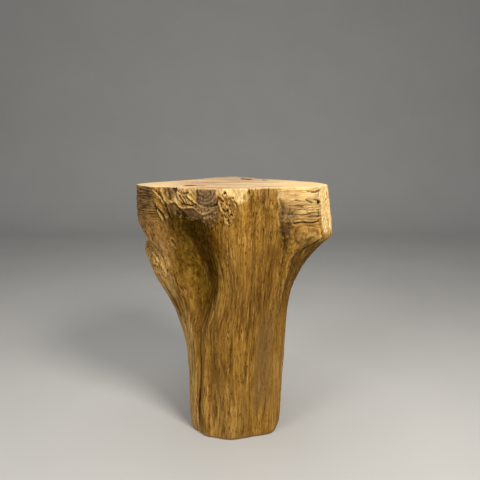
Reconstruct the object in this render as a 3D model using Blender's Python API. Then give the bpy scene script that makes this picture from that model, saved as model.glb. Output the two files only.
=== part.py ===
"""Wood block: the sawn-off foot of a tree with its root flare, stood on its narrow end as a pedestal.

One solid. A stump is grown as a loft, a little longer than the block, and then sawn: flat foot, flat
top, and the flat ends of the root stubs on the left and the right. Metres, +Z up. The front, where
the hollow between the roots shows, looks along -Y. The origin is on the foot's face, under the
middle of the block's own box.
"""

import math

import bmesh
import bpy
import numpy as np
from mathutils import Matrix, Vector

HEIGHT = 0.800           # foot to sawn top
AXIS = (0.0005, 0.0016)  # the trunk's own axis, seen from the origin
COLUMNS = 104            # faces round the stump
ROWS = 46                # faces up the stump, poles included
STOCK = 0.025            # how far the uncut stump runs on past the foot and past the top
FINE_FROM = 0.30         # the rows are closer together above this height
FINE_SHARE = 0.72        # share of the rows that lie above it
FRONT_CROWDING = 22.0    # degrees by which the columns are drawn towards the detailed front

# The block by compass direction, in degrees from the front (-Y) towards the right (+X). For each
# direction: the radius of the foot, the radius of the top, how far the belly of the flare stands out
# past the top, and the heights where the flare leaves the trunk and where it has its full reach.
DIRECTIONS = (
    (-180, 0.142, 0.250, 0.000, 0.42, 0.80),
    (-164, 0.146, 0.232, 0.000, 0.42, 0.80),
    (-148, 0.158, 0.178, 0.004, 0.40, 0.76),
    (-122, 0.164, 0.166, 0.006, 0.33, 0.74),
    (-102, 0.154, 0.186, 0.006, 0.28, 0.72),
    (-88, 0.152, 0.234, 0.004, 0.265, 0.70),
    (-75, 0.158, 0.286, 0.006, 0.265, 0.70),
    (-62, 0.170, 0.312, 0.008, 0.265, 0.70),
    (-52, 0.173, 0.306, 0.008, 0.26, 0.70),
    (-42, 0.178, 0.268, 0.004, 0.28, 0.72),
    (-28, 0.175, 0.262, 0.000, 0.20, 0.78),
    (-11, 0.166, 0.246, 0.000, 0.10, 0.80),
    (4, 0.162, 0.236, 0.000, 0.10, 0.80),
    (19, 0.158, 0.240, 0.000, 0.10, 0.80),
    (32, 0.172, 0.246, 0.000, 0.25, 0.76),
    (44, 0.186, 0.288, 0.006, 0.34, 0.66),
    (54, 0.184, 0.306, 0.014, 0.35, 0.655),
    (64, 0.172, 0.306, 0.019, 0.35, 0.655),
    (76, 0.157, 0.268, 0.028, 0.36, 0.66),
    (90, 0.150, 0.222, 0.018, 0.38, 0.68),
    (112, 0.157, 0.180, 0.006, 0.42, 0.74),
    (136, 0.166, 0.162, 0.000, 0.42, 0.80),
    (152, 0.158, 0.160, 0.000, 0.42, 0.80),
    (168, 0.146, 0.208, 0.000, 0.42, 0.80),
)
CORNER_SOFTNESS = 5.0    # degrees over which one direction blends into the next
TRUNK_TAPER = 0.11       # share by which the plain trunk widens up to the top
STEEP_FROM, STEEP_TO = 38.0, 96.0  # between these directions the flare has a sharp under edge
STEEP_EDGE = 8.0
STEEP_POWER = 2.4

# Creases that run up the block, each as rows of height, direction, half width in degrees, depth. A
# depth below zero is a swelling.
ROOT_HOLLOW = (
    (-0.03, -40, 2.8, 0.012),
    (0.10, -39, 2.8, 0.011),
    (0.20, -36, 3.6, 0.007),
    (0.30, -32, 6.0, 0.008),
    (0.42, -25, 9.0, 0.022),
    (0.54, -23, 12.0, 0.044),
    (0.63, -27, 14.0, 0.058),
    (0.69, -32, 15.0, 0.058),
    (0.722, -34, 14.0, 0.036),
    (0.745, -35, 13.0, 0.000),
)
STUB_FURROW = (
    (0.40, 31, 5.0, 0.000),
    (0.52, 34, 7.0, 0.010),
    (0.62, 36, 7.0, 0.026),
    (0.69, 34, 6.0, 0.028),
    (0.75, 31, 4.0, 0.018),
    (0.83, 30, 3.5, 0.012),
)
RIM_CLEFT = (
    (0.700, -37.5, 3.0, 0.000),
    (0.740, -38, 3.0, 0.022),
    (0.830, -39, 2.8, 0.034),
)
BACK_HOLLOW = (
    (0.20, 128, 9.0, 0.000),
    (0.45, 132, 14.0, 0.012),
    (0.83, 134, 16.0, 0.010),
)
BURL = (
    (0.58, -13, 4.0, 0.000),
    (0.67, -14, 5.0, -0.006),
    (0.76, -12, 6.5, -0.008),
    (0.83, -11, 7.0, -0.004),
)
CREASES = (ROOT_HOLLOW, STUB_FURROW, RIM_CLEFT, BACK_HOLLOW, BURL)

# Folds that run round a root: direction and height of the middle, fall in metres per degree towards
# the right, half height, half width in degrees, depth. The first is the pinch under the left root,
# the next two the split and the swelling on the right one, and the last a pinch on the back root.
FOLDS = (
    (-74, 0.650, 0.0021, 0.024, 26, 0.022),
    (48, 0.690, -0.0002, 0.012, 12, 0.007),
    (48, 0.655, -0.0006, 0.022, 11, -0.008),
    (172, 0.560, 0.0012, 0.030, 24, 0.010),
)

# How much nearer the axis the left side and the right side lie than the directions above say, at each
# height. It fades towards the front and the back.
SIDE_TRIM = (
    (0.000, 0.0085, 0.0095),
    (0.050, 0.0085, 0.0095),
    (0.100, 0.0088, 0.0085),
    (0.200, 0.0108, 0.0065),
    (0.250, 0.0080, 0.0038),
    (0.300, 0.0042, 0.0034),
    (0.340, 0.0042, 0.0020),
    (0.400, 0.0085, 0.0005),
    (0.450, 0.0082, 0.0010),
    (0.500, 0.0015, 0.0040),
    (0.540, 0.0030, 0.0050),
    (0.575, 0.0128, 0.0060),
    (0.605, 0.0085, 0.0040),
    (0.640, 0.0118, 0.0012),
    (0.670, 0.0105, 0.0030),
    (0.700, 0.0030, 0.0010),
    (0.740, -0.0030, 0.0000),
    (0.800, -0.0040, 0.0000),
)

# Long ribs of the trunk: number round it, size, start in degrees, and twist in degrees per metre.
RIBS = (
    (5, 0.0040, 30.0, 20.0),
    (9, 0.0030, 110.0, -14.0),
    (14, 0.0022, 200.0, 18.0),
    (23, 0.0016, 75.0, -10.0),
    (31, 0.0010, 310.0, 12.0),
)

# Flat ends of the root stubs: the direction that the cut looks, its distance from the trunk's axis
# at CUT_HEIGHT, and how much nearer the axis it comes for each metre up.
ROOT_ENDS = {"right_root_cut": (56.0, 0.303, 0.13), "left_root_cut": (-52.0, 0.304, 0.06)}
CUT_HEIGHT = 0.725
WASTE = 0.90             # side of the boxes of waste that the saw takes off


def by_direction(azimuth, column):
    """A column of DIRECTIONS at any azimuth, with its corners rounded."""
    knots = [row[0] for row in DIRECTIONS]
    values = [row[column] for row in DIRECTIONS]
    blend = ((-CORNER_SOFTNESS, 0.25), (0.0, 0.5), (CORNER_SOFTNESS, 0.25))
    return sum(weight * np.interp(azimuth + step, knots, values, period=360) for step, weight in blend)


def turn_between(azimuth, other):
    """Signed difference of two directions, in degrees from -180 to 180."""
    return (azimuth - other + 180.0) % 360.0 - 180.0


def smooth_step(value):
    clipped = np.clip(value, 0.0, 1.0)
    return clipped * clipped * (3.0 - 2.0 * clipped)


def crease_depth(azimuth, height, knots):
    """Depth of a groove with a rounded floor that wanders as it climbs."""
    heights, directions, half_widths, depths = zip(*knots)
    across = turn_between(azimuth, np.interp(height, heights, directions))
    depth = np.interp(height, heights, depths, left=0.0, right=0.0)
    return depth * np.exp(-((across / np.interp(height, heights, half_widths)) ** 2))


def fold_depth(azimuth, height, fold):
    direction, middle, fall, half_height, half_width, depth = fold
    across = turn_between(azimuth, direction)
    above = (height - middle + fall * across) / half_height
    return depth * np.exp(-(above ** 2) - (across / half_width) ** 2)


def side_trim(azimuth, height):
    heights, left, right = zip(*SIDE_TRIM)
    sideways = np.sin(np.radians(azimuth))
    to_left = np.clip(-sideways, 0.0, 1.0) ** 1.5
    to_right = np.clip(sideways, 0.0, 1.0) ** 1.5
    return to_left * np.interp(height, heights, left) + to_right * np.interp(height, heights, right)


def rib_height(azimuth, height):
    waves = (
        size * np.sin(np.radians(count * (azimuth + twist * height) + start))
        for count, size, start, twist in RIBS
    )
    return sum(waves)


def stump_radius(azimuth, height):
    """Distance of the grown surface from the trunk's axis."""
    foot, top, belly, start, full = (by_direction(azimuth, column) for column in range(1, 6))
    trunk = foot * (1.0 + TRUNK_TAPER * height / HEIGHT)
    climbed = np.clip((height - start) / (full - start), 0.0, 1.0)
    steep = smooth_step((azimuth - STEEP_FROM) / STEEP_EDGE) * smooth_step((STEEP_TO - azimuth) / STEEP_EDGE)
    reach = steep * climbed ** STEEP_POWER + (1.0 - steep) * smooth_step(climbed)
    past_belly = np.clip((height - full) / (HEIGHT + STOCK - full), 0.0, 1.0)
    radius = trunk + (top - trunk + belly * (1.0 - past_belly)) * reach
    creases = sum(crease_depth(azimuth, height, knots) for knots in CREASES)
    folds = sum(fold_depth(azimuth, height, fold) for fold in FOLDS)
    return radius - creases - folds - side_trim(azimuth, height) + rib_height(azimuth, height)


def row_height(row):
    """Height of a ring of the stump: far apart in the plain trunk, close together in the flare."""
    share = (row - 1) / (ROWS - 2)
    return float(np.interp(share, (0.0, 1.0 - FINE_SHARE, 1.0), (-STOCK, FINE_FROM, HEIGHT + STOCK)))


def stump_point(column_angle, row):
    """Where the stump has a point of a UV sphere, given by its angle in degrees and its row."""
    height = row_height(min(max(row, 1), ROWS - 1))
    if row in (0, ROWS):
        return Vector((AXIS[0], AXIS[1], height))
    azimuth = column_angle - FRONT_CROWDING * math.sin(math.radians(column_angle))
    radius = float(stump_radius(azimuth, height))
    turn = math.radians(azimuth)
    return Vector((AXIS[0] + radius * math.sin(turn), AXIS[1] - radius * math.cos(turn), height))


def grow_stump(collection):
    """A UV sphere whose rings are drawn out to the stump's sections. Its poles lie in the waste."""
    shape = bmesh.new()
    bmesh.ops.create_uvsphere(shape, u_segments=COLUMNS, v_segments=ROWS, radius=1.0)
    for vertex in shape.verts:
        x, y, z = vertex.co
        row = round(ROWS * (1.0 - math.acos(max(-1.0, min(1.0, z))) / math.pi))
        vertex.co = stump_point(math.degrees(math.atan2(x, -y)), row)
    bmesh.ops.recalc_face_normals(shape, faces=shape.faces)
    mesh = bpy.data.meshes.new("wood_block")
    shape.to_mesh(mesh)
    shape.free()
    stump = bpy.data.objects.new("wood_block", mesh)
    collection.objects.link(stump)
    return stump


def add_waste(name, face_centre, outward, collection):
    """A box of waste whose near face is a saw cut at face_centre, looking outward."""
    shape = bmesh.new()
    bmesh.ops.create_cube(shape, size=WASTE)
    mesh = bpy.data.meshes.new(name)
    shape.to_mesh(mesh)
    shape.free()
    box = bpy.data.objects.new(name, mesh)
    outward = outward.normalized()
    turn = outward.to_track_quat("Z", "Y").to_matrix().to_4x4()
    box.matrix_world = Matrix.Translation(face_centre + outward * WASTE / 2) @ turn
    box.hide_render = True
    box.display_type = "WIRE"
    collection.objects.link(box)
    return box


def add_root_cut(name, direction, distance, lean, collection):
    turn = math.radians(direction)
    outward = Vector((math.sin(turn), -math.cos(turn), lean))
    face_centre = Vector((AXIS[0] + distance * outward.x, AXIS[1] + distance * outward.y, CUT_HEIGHT))
    return add_waste(name, face_centre, outward, collection)


def saw(stump, box):
    cut = stump.modifiers.new(box.name, "BOOLEAN")
    cut.operation = "DIFFERENCE"
    cut.solver = "EXACT"
    cut.object = box


def oiled_wood():
    material = bpy.data.materials.new("oiled_wood")
    material.use_nodes = True
    shader = material.node_tree.nodes["Principled BSDF"]
    shader.inputs["Base Color"].default_value = (0.36, 0.20, 0.07, 1.0)
    shader.inputs["Roughness"].default_value = 0.62
    shader.inputs["Metallic"].default_value = 0.0
    return material


def main():
    for old in list(bpy.data.objects):
        bpy.data.objects.remove(old)
    parts = bpy.data.collections.new("wood_block")
    waste = bpy.data.collections.new("saw_cuts")
    for collection in (parts, waste):
        bpy.context.scene.collection.children.link(collection)
    stump = grow_stump(parts)
    stump.data.materials.append(oiled_wood())
    saw(stump, add_waste("foot_cut", Vector((0, 0, 0)), Vector((0, 0, -1)), waste))
    saw(stump, add_waste("top_cut", Vector((0, 0, HEIGHT)), Vector((0, 0, 1)), waste))
    for name, (direction, distance, lean) in ROOT_ENDS.items():
        saw(stump, add_root_cut(name, direction, distance, lean, waste))


main()
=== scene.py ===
import math

import bpy
import numpy as np
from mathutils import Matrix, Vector


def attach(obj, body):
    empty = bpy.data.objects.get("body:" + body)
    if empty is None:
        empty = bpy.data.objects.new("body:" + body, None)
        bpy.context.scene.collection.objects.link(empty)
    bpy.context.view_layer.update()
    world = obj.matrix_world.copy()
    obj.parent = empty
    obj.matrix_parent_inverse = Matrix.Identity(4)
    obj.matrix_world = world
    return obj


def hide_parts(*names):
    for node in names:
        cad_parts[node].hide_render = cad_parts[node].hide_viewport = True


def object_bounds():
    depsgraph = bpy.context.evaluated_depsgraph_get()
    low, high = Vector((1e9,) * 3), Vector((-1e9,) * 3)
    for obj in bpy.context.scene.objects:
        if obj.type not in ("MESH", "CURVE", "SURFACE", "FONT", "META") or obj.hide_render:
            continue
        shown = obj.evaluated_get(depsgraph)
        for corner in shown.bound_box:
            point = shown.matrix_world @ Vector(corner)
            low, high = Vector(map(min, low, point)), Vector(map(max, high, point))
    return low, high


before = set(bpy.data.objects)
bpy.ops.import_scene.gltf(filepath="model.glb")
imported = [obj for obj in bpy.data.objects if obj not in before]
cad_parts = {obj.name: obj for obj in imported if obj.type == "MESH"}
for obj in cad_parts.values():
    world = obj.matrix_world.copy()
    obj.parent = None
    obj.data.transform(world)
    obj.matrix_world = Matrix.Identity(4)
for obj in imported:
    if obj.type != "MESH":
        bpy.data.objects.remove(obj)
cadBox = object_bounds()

print("frame loaded, box", [round(float(v), 4) for corner in cadBox for v in corner])

# Directions are in degrees from the front (-Y) towards the right (+X). Heights and distances are in
# metres. Everything is worked out on whole arrays: "turn" is a direction, "height" a height.


# small helpers

def ease(low, high, value):
    # 0 up to low, 1 from high on, an S between them
    share = np.clip((value - low) / (high - low), 0.0, 1.0)
    return share * share * (3.0 - 2.0 * share)


def window(value, low, high, soft):
    # 1 between low and high, falling to 0 over a distance of soft on each side
    return ease(low - soft, low + soft, value) * (1.0 - ease(high - soft, high + soft, value))


def turnBetween(turn, other):
    return (turn - other + 180.0) % 360.0 - 180.0


def spot(turn, height, centreTurn, centreHeight, halfTurn, halfHeight):
    # a round hill: e to the minus squared distance from its centre
    across = turnBetween(turn, centreTurn) / halfTurn
    up = (height - centreHeight) / halfHeight
    return np.exp(-across ** 2 - up ** 2)


def hills(turn, height, rows):
    # sum of round hills: share, direction and height of the middle, half width in degrees, half height
    return sum(share * spot(turn, height, *hill) for share, *hill in rows)


def strongest(turn, height, rows):
    # largest, at each point, of patches: share, first and last direction, softness, lowest and
    # highest height, softness
    return np.max([share * window(turn, first, last, turnSoft) * window(height, low, high, heightSoft)
                   for share, first, last, turnSoft, low, high, heightSoft in rows], axis=0)


def along(rows, value, column=1):
    # a column of a table at any value of the table's first column
    return np.interp(value, [row[0] for row in rows], [row[column] for row in rows])


def flatNoise(across, down, plane, seed):
    # lattice noise over two numbers, cut at one plane of the third
    return latticeNoise(across, down, np.full(np.shape(across), plane), seed)


def latticeNoise(x, y, z, seed):
    # gradient noise, about -1 to 1: slopes at the corners of a grid of cubes, blended inside each cube
    draw = np.random.default_rng(seed)
    order = np.tile(draw.permutation(512), 3)
    slopes = draw.normal(size=(512, 3))
    slopes /= np.linalg.norm(slopes, axis=1)[:, None]
    cells = [np.floor(v).astype(np.int64) for v in (x, y, z)]
    inside = [v - c for v, c in zip((x, y, z), cells)]
    blend = [v * v * v * (v * (6.0 * v - 15.0) + 10.0) for v in inside]
    total = np.zeros(np.shape(x))
    for corner in range(8):
        step = (corner & 1, corner >> 1 & 1, corner >> 2 & 1)
        key = order[(cells[0] + step[0]) & 511]
        key = order[(key + cells[1] + step[1]) & 511]
        key = order[(key + cells[2] + step[2]) & 511]
        slope = slopes[key]
        dot = sum((inside[i] - step[i]) * slope[..., i] for i in range(3))
        weight = np.prod([blend[i] if step[i] else 1.0 - blend[i] for i in range(3)], axis=0)
        total += dot * weight
    return total * 1.7


def layeredNoise(x, y, z, seed, layers=3, fade=0.5):
    # lattice noise with finer and weaker copies of itself added
    total, size = 0.0, 1.0
    for layer in range(layers):
        scale = 2.03 ** layer
        total = total + size * latticeNoise(x * scale, y * scale, z * scale, seed + layer)
        size *= fade
    return total


def lineDistance(across, height, path):
    # distance from a line through the points of path, in the flat plane of across and height
    best = np.full(np.shape(across), 9.0)
    for (ax, az), (bx, bz) in zip(path[:-1], path[1:]):
        lengthSquared = (bx - ax) ** 2 + (bz - az) ** 2
        share = np.clip(((across - ax) * (bx - ax) + (height - az) * (bz - az)) / lengthSquared, 0.0, 1.0)
        best = np.minimum(best, np.hypot(across - ax - share * (bx - ax), height - az - share * (bz - az)))
    return best


def pathDistance(turn, height, path, reach):
    # the same for points of direction and height, on the surface rolled out at radius reach
    rolled = [(math.radians(pointTurn) * reach, pointHeight) for pointTurn, pointHeight in path]
    return lineDistance(np.radians(turn) * reach, height, rolled)


def blurRound(values, steps):
    # mean over neighbouring columns of a closed ring
    return sum(np.roll(values, step, 1) for step in range(-steps, steps + 1)) / (2 * steps + 1)


def blurUp(values, steps):
    # mean over neighbouring rows, the end rows repeated
    padded = np.pad(values, ((steps, steps), (0, 0)), mode="edge")
    return sum(padded[step:step + len(values)] for step in range(2 * steps + 1)) / (2 * steps + 1)


# the stump's form

stump = dict(
    height=0.800,
    axis=(0.0005, 0.0016),
    reach=0.26,              # radius at which the surface is rolled out for cracks and ledges
    trunkTaper=0.11,
    overTop=0.025,           # height over the top at which the belly has gone
    cornerSoftness=5.0,
    # direction, foot radius, top radius, belly, height where the flare starts, height where it is full
    directions=(
        (-180, 0.142, 0.250, 0.000, 0.42, 0.80), (-164, 0.146, 0.232, 0.000, 0.42, 0.80),
        (-148, 0.158, 0.178, 0.004, 0.40, 0.76), (-122, 0.164, 0.166, 0.006, 0.33, 0.74),
        (-102, 0.154, 0.186, 0.006, 0.28, 0.72), (-88, 0.152, 0.234, 0.004, 0.265, 0.70),
        (-75, 0.158, 0.286, 0.006, 0.265, 0.70), (-62, 0.170, 0.312, 0.008, 0.265, 0.70),
        (-52, 0.173, 0.306, 0.008, 0.26, 0.70), (-42, 0.178, 0.268, 0.004, 0.28, 0.72),
        (-28, 0.175, 0.262, 0.000, 0.20, 0.78), (-11, 0.166, 0.246, 0.000, 0.10, 0.80),
        (4, 0.162, 0.236, 0.000, 0.10, 0.80), (19, 0.158, 0.240, 0.000, 0.10, 0.80),
        (32, 0.172, 0.246, 0.000, 0.25, 0.76), (44, 0.186, 0.288, 0.006, 0.34, 0.66),
        (54, 0.184, 0.306, 0.014, 0.35, 0.655), (64, 0.172, 0.306, 0.019, 0.35, 0.655),
        (76, 0.157, 0.268, 0.028, 0.36, 0.66), (90, 0.150, 0.222, 0.018, 0.38, 0.68),
        (112, 0.157, 0.180, 0.006, 0.42, 0.74), (136, 0.166, 0.162, 0.000, 0.42, 0.80),
        (152, 0.158, 0.160, 0.000, 0.42, 0.80), (168, 0.146, 0.208, 0.000, 0.42, 0.80),
    ),
    steepTurns=(38.0, 96.0), steepEdge=8.0, steepPower=2.4,
    # number of ribs round the trunk, their size, first direction and twist in degrees per metre
    ribs=((5, 0.0040, 30.0, 20.0), (9, 0.0030, 110.0, -14.0), (14, 0.0022, 200.0, 18.0),
          (23, 0.0016, 75.0, -10.0), (31, 0.0010, 310.0, 12.0)),
    # creases: height, direction, half width in degrees, depth
    rootHollow=((-0.03, -42, 2.6, 0.010), (0.10, -41, 2.8, 0.010), (0.20, -38, 3.4, 0.008),
                (0.30, -36, 5.0, 0.008), (0.38, -32, 7.5, 0.015), (0.44, -26, 9.5, 0.024),
                (0.54, -23, 12.0, 0.044), (0.63, -27, 14.0, 0.058), (0.69, -31, 16.0, 0.058),
                (0.722, -32, 17.0, 0.048), (0.745, -32, 17.0, 0.040), (0.83, -32, 17.0, 0.036)),
    hollowFloor=((0.0, -42), (0.10, -41.5), (0.248, -38), (0.312, -36), (0.376, -33), (0.42, -26),
                 (0.50, -21), (0.552, -22.5), (0.616, -30), (0.664, -34)),
    stubFurrow=((0.40, 31, 5.0, 0.000), (0.52, 34, 7.0, 0.010), (0.62, 37, 6.0, 0.024),
                (0.69, 36, 5.0, 0.026), (0.75, 33, 4.0, 0.016), (0.83, 31, 3.5, 0.010)),
    backHollow=((0.20, 128, 9.0, 0.000), (0.45, 132, 14.0, 0.012), (0.83, 134, 16.0, 0.010)),
    # folds: direction, height, fall in metres per degree, half height, half width in degrees, depth
    folds=((-74, 0.650, 0.0021, 0.024, 26, 0.022), (172, 0.560, 0.0012, 0.030, 24, 0.010)),
    # how much nearer the axis the left and the right side lie, at each height
    sideTrim=((0.000, 0.0085, 0.0095), (0.050, 0.0085, 0.0095), (0.100, 0.0088, 0.0085),
              (0.200, 0.0108, 0.0065), (0.250, 0.0080, 0.0038), (0.300, 0.0042, 0.0034),
              (0.340, 0.0042, 0.0020), (0.400, 0.0085, 0.0005), (0.450, 0.0082, 0.0010),
              (0.500, 0.0015, 0.0040), (0.540, 0.0030, 0.0050), (0.575, 0.0128, 0.0060),
              (0.605, 0.0085, 0.0040), (0.640, 0.0118, 0.0012), (0.670, 0.0105, 0.0030),
              (0.700, 0.0030, 0.0010), (0.740, -0.0030, 0.0000), (0.800, -0.0040, 0.0000)),
    # the sawn ends of the two roots: direction, distance at cutHeight, lean
    rootEnds=((56.0, 0.303, 0.13), (-52.0, 0.304, 0.06)), cutHeight=0.725, cutEdge=0.0022,
    # the foot bulges a little at the front left: size, direction, height, half width, half height
    footFill=((0.0085, -22.0, 0.0, 11.0, 0.11),),
)


def byTurn(turn, column):
    # a column of the directions table at any direction, its corners rounded
    knots = [row[0] for row in stump["directions"]]
    values = [row[column] for row in stump["directions"]]
    soft = stump["cornerSoftness"]
    return sum(weight * np.interp(turn + step, knots, values, period=360)
               for step, weight in ((-soft, 0.25), (0.0, 0.5), (soft, 0.25)))


def crease(turn, height, knots):
    # a groove that wanders as it climbs: its depth times e to the minus squared share of its half width
    across = turnBetween(turn, along(knots, height, 1)) / along(knots, height, 2)
    return along(knots, height, 3) * np.exp(-across ** 2)


def fold(turn, height, row):
    # a soft dent along a line that falls with the direction: depth times e to the minus squared distances
    direction, middle, fall, halfHeight, halfWidth, depth = row
    across = turnBetween(turn, direction)
    up = (height - middle + fall * across) / halfHeight
    return depth * np.exp(-up ** 2 - (across / halfWidth) ** 2)


def grownRadius(turn, height):
    # trunk radius, widened by the flare as an S or a power of the share climbed, less folds, plus ribs
    foot, top, belly, start, full = (byTurn(turn, column) for column in range(1, 6))
    trunk = foot * (1.0 + stump["trunkTaper"] * height / stump["height"])
    climbed = np.clip((height - start) / (full - start), 0.0, 1.0)
    low, high = stump["steepTurns"]
    edge = stump["steepEdge"]
    steep = ease(0.0, edge, turn - low) * ease(0.0, edge, high - turn)
    reach = steep * climbed ** stump["steepPower"] + (1.0 - steep) * climbed ** 2 * (3.0 - 2.0 * climbed)
    pastBelly = np.clip((height - full) / (stump["height"] + stump["overTop"] - full), 0.0, 1.0)
    radius = trunk + (top - trunk + belly * (1.0 - pastBelly)) * reach
    radius -= sum(fold(turn, height, row) for row in stump["folds"])
    radius -= crease(turn, height, stump["backHollow"])
    sideways = np.sin(np.radians(turn))
    for side, column in ((-sideways, 1), (sideways, 2)):
        radius -= np.clip(side, 0.0, 1.0) ** 1.5 * along(stump["sideTrim"], height, column)
    radius += sum(size * np.sin(np.radians(count * (turn + twist * height) + first))
                  for count, size, first, twist in stump["ribs"])
    return radius


# the broken ledge and the hollow under it

ledge = dict(
    # the zigzag edge of the broken wood over the hollow: direction, height
    edge=((-60, 0.775), (-50, 0.775), (-46, 0.762), (-44, 0.757), (-43, 0.756), (-42, 0.752),
          (-41, 0.760), (-40.3, 0.760), (-39.6, 0.755), (-38, 0.760), (-36.5, 0.754), (-35, 0.746),
          (-34, 0.743), (-32, 0.742), (-29, 0.745), (-26, 0.746), (-24.5, 0.742), (-22, 0.732),
          (-20, 0.727), (-17, 0.730), (-14, 0.737), (-12, 0.745), (-10.5, 0.752), (-8, 0.760),
          (-5, 0.772)),
    turns=(-44.0, -10.5),
    step=0.30,               # share of the hollow's depth that the edge drops at once
    scoop=0.050,             # height over which the rest is reached
    lip=0.0030,              # how far the edge's lip stands out
    lipEnd=(-26.5, -23.5),   # directions between which the lip fades
    # hollows under the edge: direction, height, half width in degrees, half height, depth
    cups=((-41.0, 0.733, 2.4, 0.014, 0.005), (-38.6, 0.731, 1.2, 0.015, 0.008),
          (-31.5, 0.728, 3.4, 0.013, 0.005), (-27.0, 0.735, 1.6, 0.008, 0.006)),
    cupRidge=((-40.2, 0.757), (-40.0, 0.737), (-40.4, 0.712)),
    # the open split at the rim, as seen from the front: x and height
    cleft=((-0.1700, 0.808), (-0.1668, 0.798), (-0.1632, 0.788), (-0.1598, 0.776), (-0.1555, 0.765),
           (-0.1440, 0.7555)),
    cleftDepth=0.011, cleftHalf=0.0100, cleftTaper=0.0064,
    # torn ridges (above zero) and grooves (below), seen from the front: x and height points, size, half
    # width; first those of the broken wood over the edge
    torn=(((-0.2270, 0.790), (-0.2113, 0.776), (-0.1973, 0.762), (-0.1949, 0.752), 0.0045, 0.0024),
          ((-0.2180, 0.789), (-0.2111, 0.782), (-0.2009, 0.770), (-0.1907, 0.758), -0.0062, 0.0022),
          ((-0.2020, 0.792), (-0.1956, 0.775), (-0.1899, 0.763), 0.0045, 0.0030),
          ((-0.1860, 0.799), (-0.1835, 0.786), (-0.1800, 0.767), -0.0045, 0.0030),
          ((-0.1526, 0.778), (-0.1449, 0.767), (-0.1380, 0.757), -0.0045, 0.0024),
          ((-0.1430, 0.755), (-0.1250, 0.7535), (-0.1113, 0.752), -0.0046, 0.0022),
          ((-0.1290, 0.782), (-0.1184, 0.773), (-0.1044, 0.762), (-0.0919, 0.751), 0.0036, 0.0021),
          ((-0.1310, 0.776), (-0.1190, 0.765), (-0.1040, 0.754), -0.0034, 0.0022),
          ((-0.1450, 0.793), (-0.1370, 0.784), (-0.1250, 0.788), -0.0030, 0.0020),
          ((-0.1500, 0.796), (-0.1400, 0.790), (-0.1330, 0.778), (-0.1290, 0.766), 0.0030, 0.0026),
          ((-0.1420, 0.776), (-0.1340, 0.770), (-0.1290, 0.760), -0.0034, 0.0020),
          # under the edge, left: a broad flake, the dark line beside it, and a row of beads
          ((-0.2150, 0.750), (-0.2098, 0.743), (-0.1995, 0.732), (-0.1900, 0.714), 0.0048, 0.0046),
          ((-0.1935, 0.750), (-0.1912, 0.743), (-0.1865, 0.726), (-0.1820, 0.712), -0.0075, 0.0026),
          ((-0.2180, 0.733), (-0.2146, 0.726), (-0.2098, 0.716), (-0.2048, 0.703), 0.0040, 0.0024),
          ((-0.2200, 0.752), (-0.2110, 0.731), (-0.2030, 0.717), (-0.1980, 0.704), -0.0050, 0.0022),
          ((-0.2290, 0.760), (-0.2240, 0.742), (-0.2150, 0.722), (-0.2090, 0.704), -0.0035, 0.0026),
          # in the cups: a plank, a dark cleft beside it and a bright chip
          ((-0.1690, 0.748), (-0.1655, 0.734), (-0.1650, 0.722), 0.0030, 0.0030),
          ((-0.1575, 0.745), (-0.1540, 0.734), (-0.1550, 0.722), -0.0040, 0.0026),
          ((-0.1325, 0.7105), (-0.1275, 0.7075), (-0.1215, 0.7035), 0.0042, 0.0030),
          ((-0.1180, 0.714), (-0.1090, 0.709), (-0.1010, 0.711), 0.0026, 0.0022),
          # chips along the burl's left side, and a short upright split in the column's rim
          ((-0.0400, 0.762), (-0.0381, 0.753), (-0.0358, 0.743), (-0.0303, 0.734), (-0.0263, 0.725),
           (-0.0239, 0.711), (-0.0200, 0.697), 0.0036, 0.0028),
          ((0.0402, 0.799), (0.0418, 0.793), (0.0430, 0.786), -0.0040, 0.0018),
          # right: the bright ridge beside the furrow, slits, and the long crack with its end
          ((0.1195, 0.771), (0.1231, 0.763), (0.1267, 0.744), (0.1222, 0.726), (0.1234, 0.703),
           (0.1270, 0.690), 0.0030, 0.0022),
          ((0.2034, 0.789), (0.2110, 0.7865), (0.2195, 0.785), -0.0030, 0.0016),
          ((0.2195, 0.785), (0.2300, 0.784), (0.2434, 0.788), -0.0058, 0.0018),
          ((0.1700, 0.764), (0.1760, 0.7645), (0.1840, 0.762), -0.0034, 0.0016),
          ((0.2010, 0.765), (0.2090, 0.760), (0.2185, 0.757), -0.0048, 0.0018),
          ((0.2250, 0.7640), (0.2310, 0.7625), (0.2350, 0.7615), -0.0045, 0.0016),
          ((0.2425, 0.785), (0.2405, 0.778), (0.2390, 0.771), -0.0042, 0.0018),
          ((0.1700, 0.698), (0.1780, 0.700), (0.1957, 0.7025), (0.2100, 0.700), (0.2250, 0.700),
           (0.2425, 0.703), -0.0075, 0.0018),
          ((0.2400, 0.733), (0.2412, 0.722), (0.2400, 0.714), -0.0040, 0.0020),
          # the swelling's rings, and the crevice at its lower right
          ((0.1715, 0.676), (0.1758, 0.684), (0.1836, 0.691), (0.2019, 0.693), (0.2219, 0.690),
           (0.2425, 0.685), -0.0020, 0.0018),
          ((0.1716, 0.677), (0.1707, 0.662), (0.1747, 0.646), (0.1859, 0.635), -0.0026, 0.0022),
          ((0.1810, 0.668), (0.1860, 0.679), (0.1980, 0.685), (0.2130, 0.683), (0.2230, 0.676), -0.0014,
           0.0018),
          ((0.1850, 0.655), (0.1950, 0.650), (0.2080, 0.652), (0.2200, 0.660), -0.0014, 0.0018),
          ((0.2434, 0.670), (0.2490, 0.660), (0.2470, 0.655), (0.2353, 0.649), (0.2235, 0.638), -0.0050,
           0.0022)),
    # round holes: x, height, radius, depth
    holes=((0.2384, 0.7555, 0.0056, 0.010), (0.2405, 0.7050, 0.0032, 0.006)),
)


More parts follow.
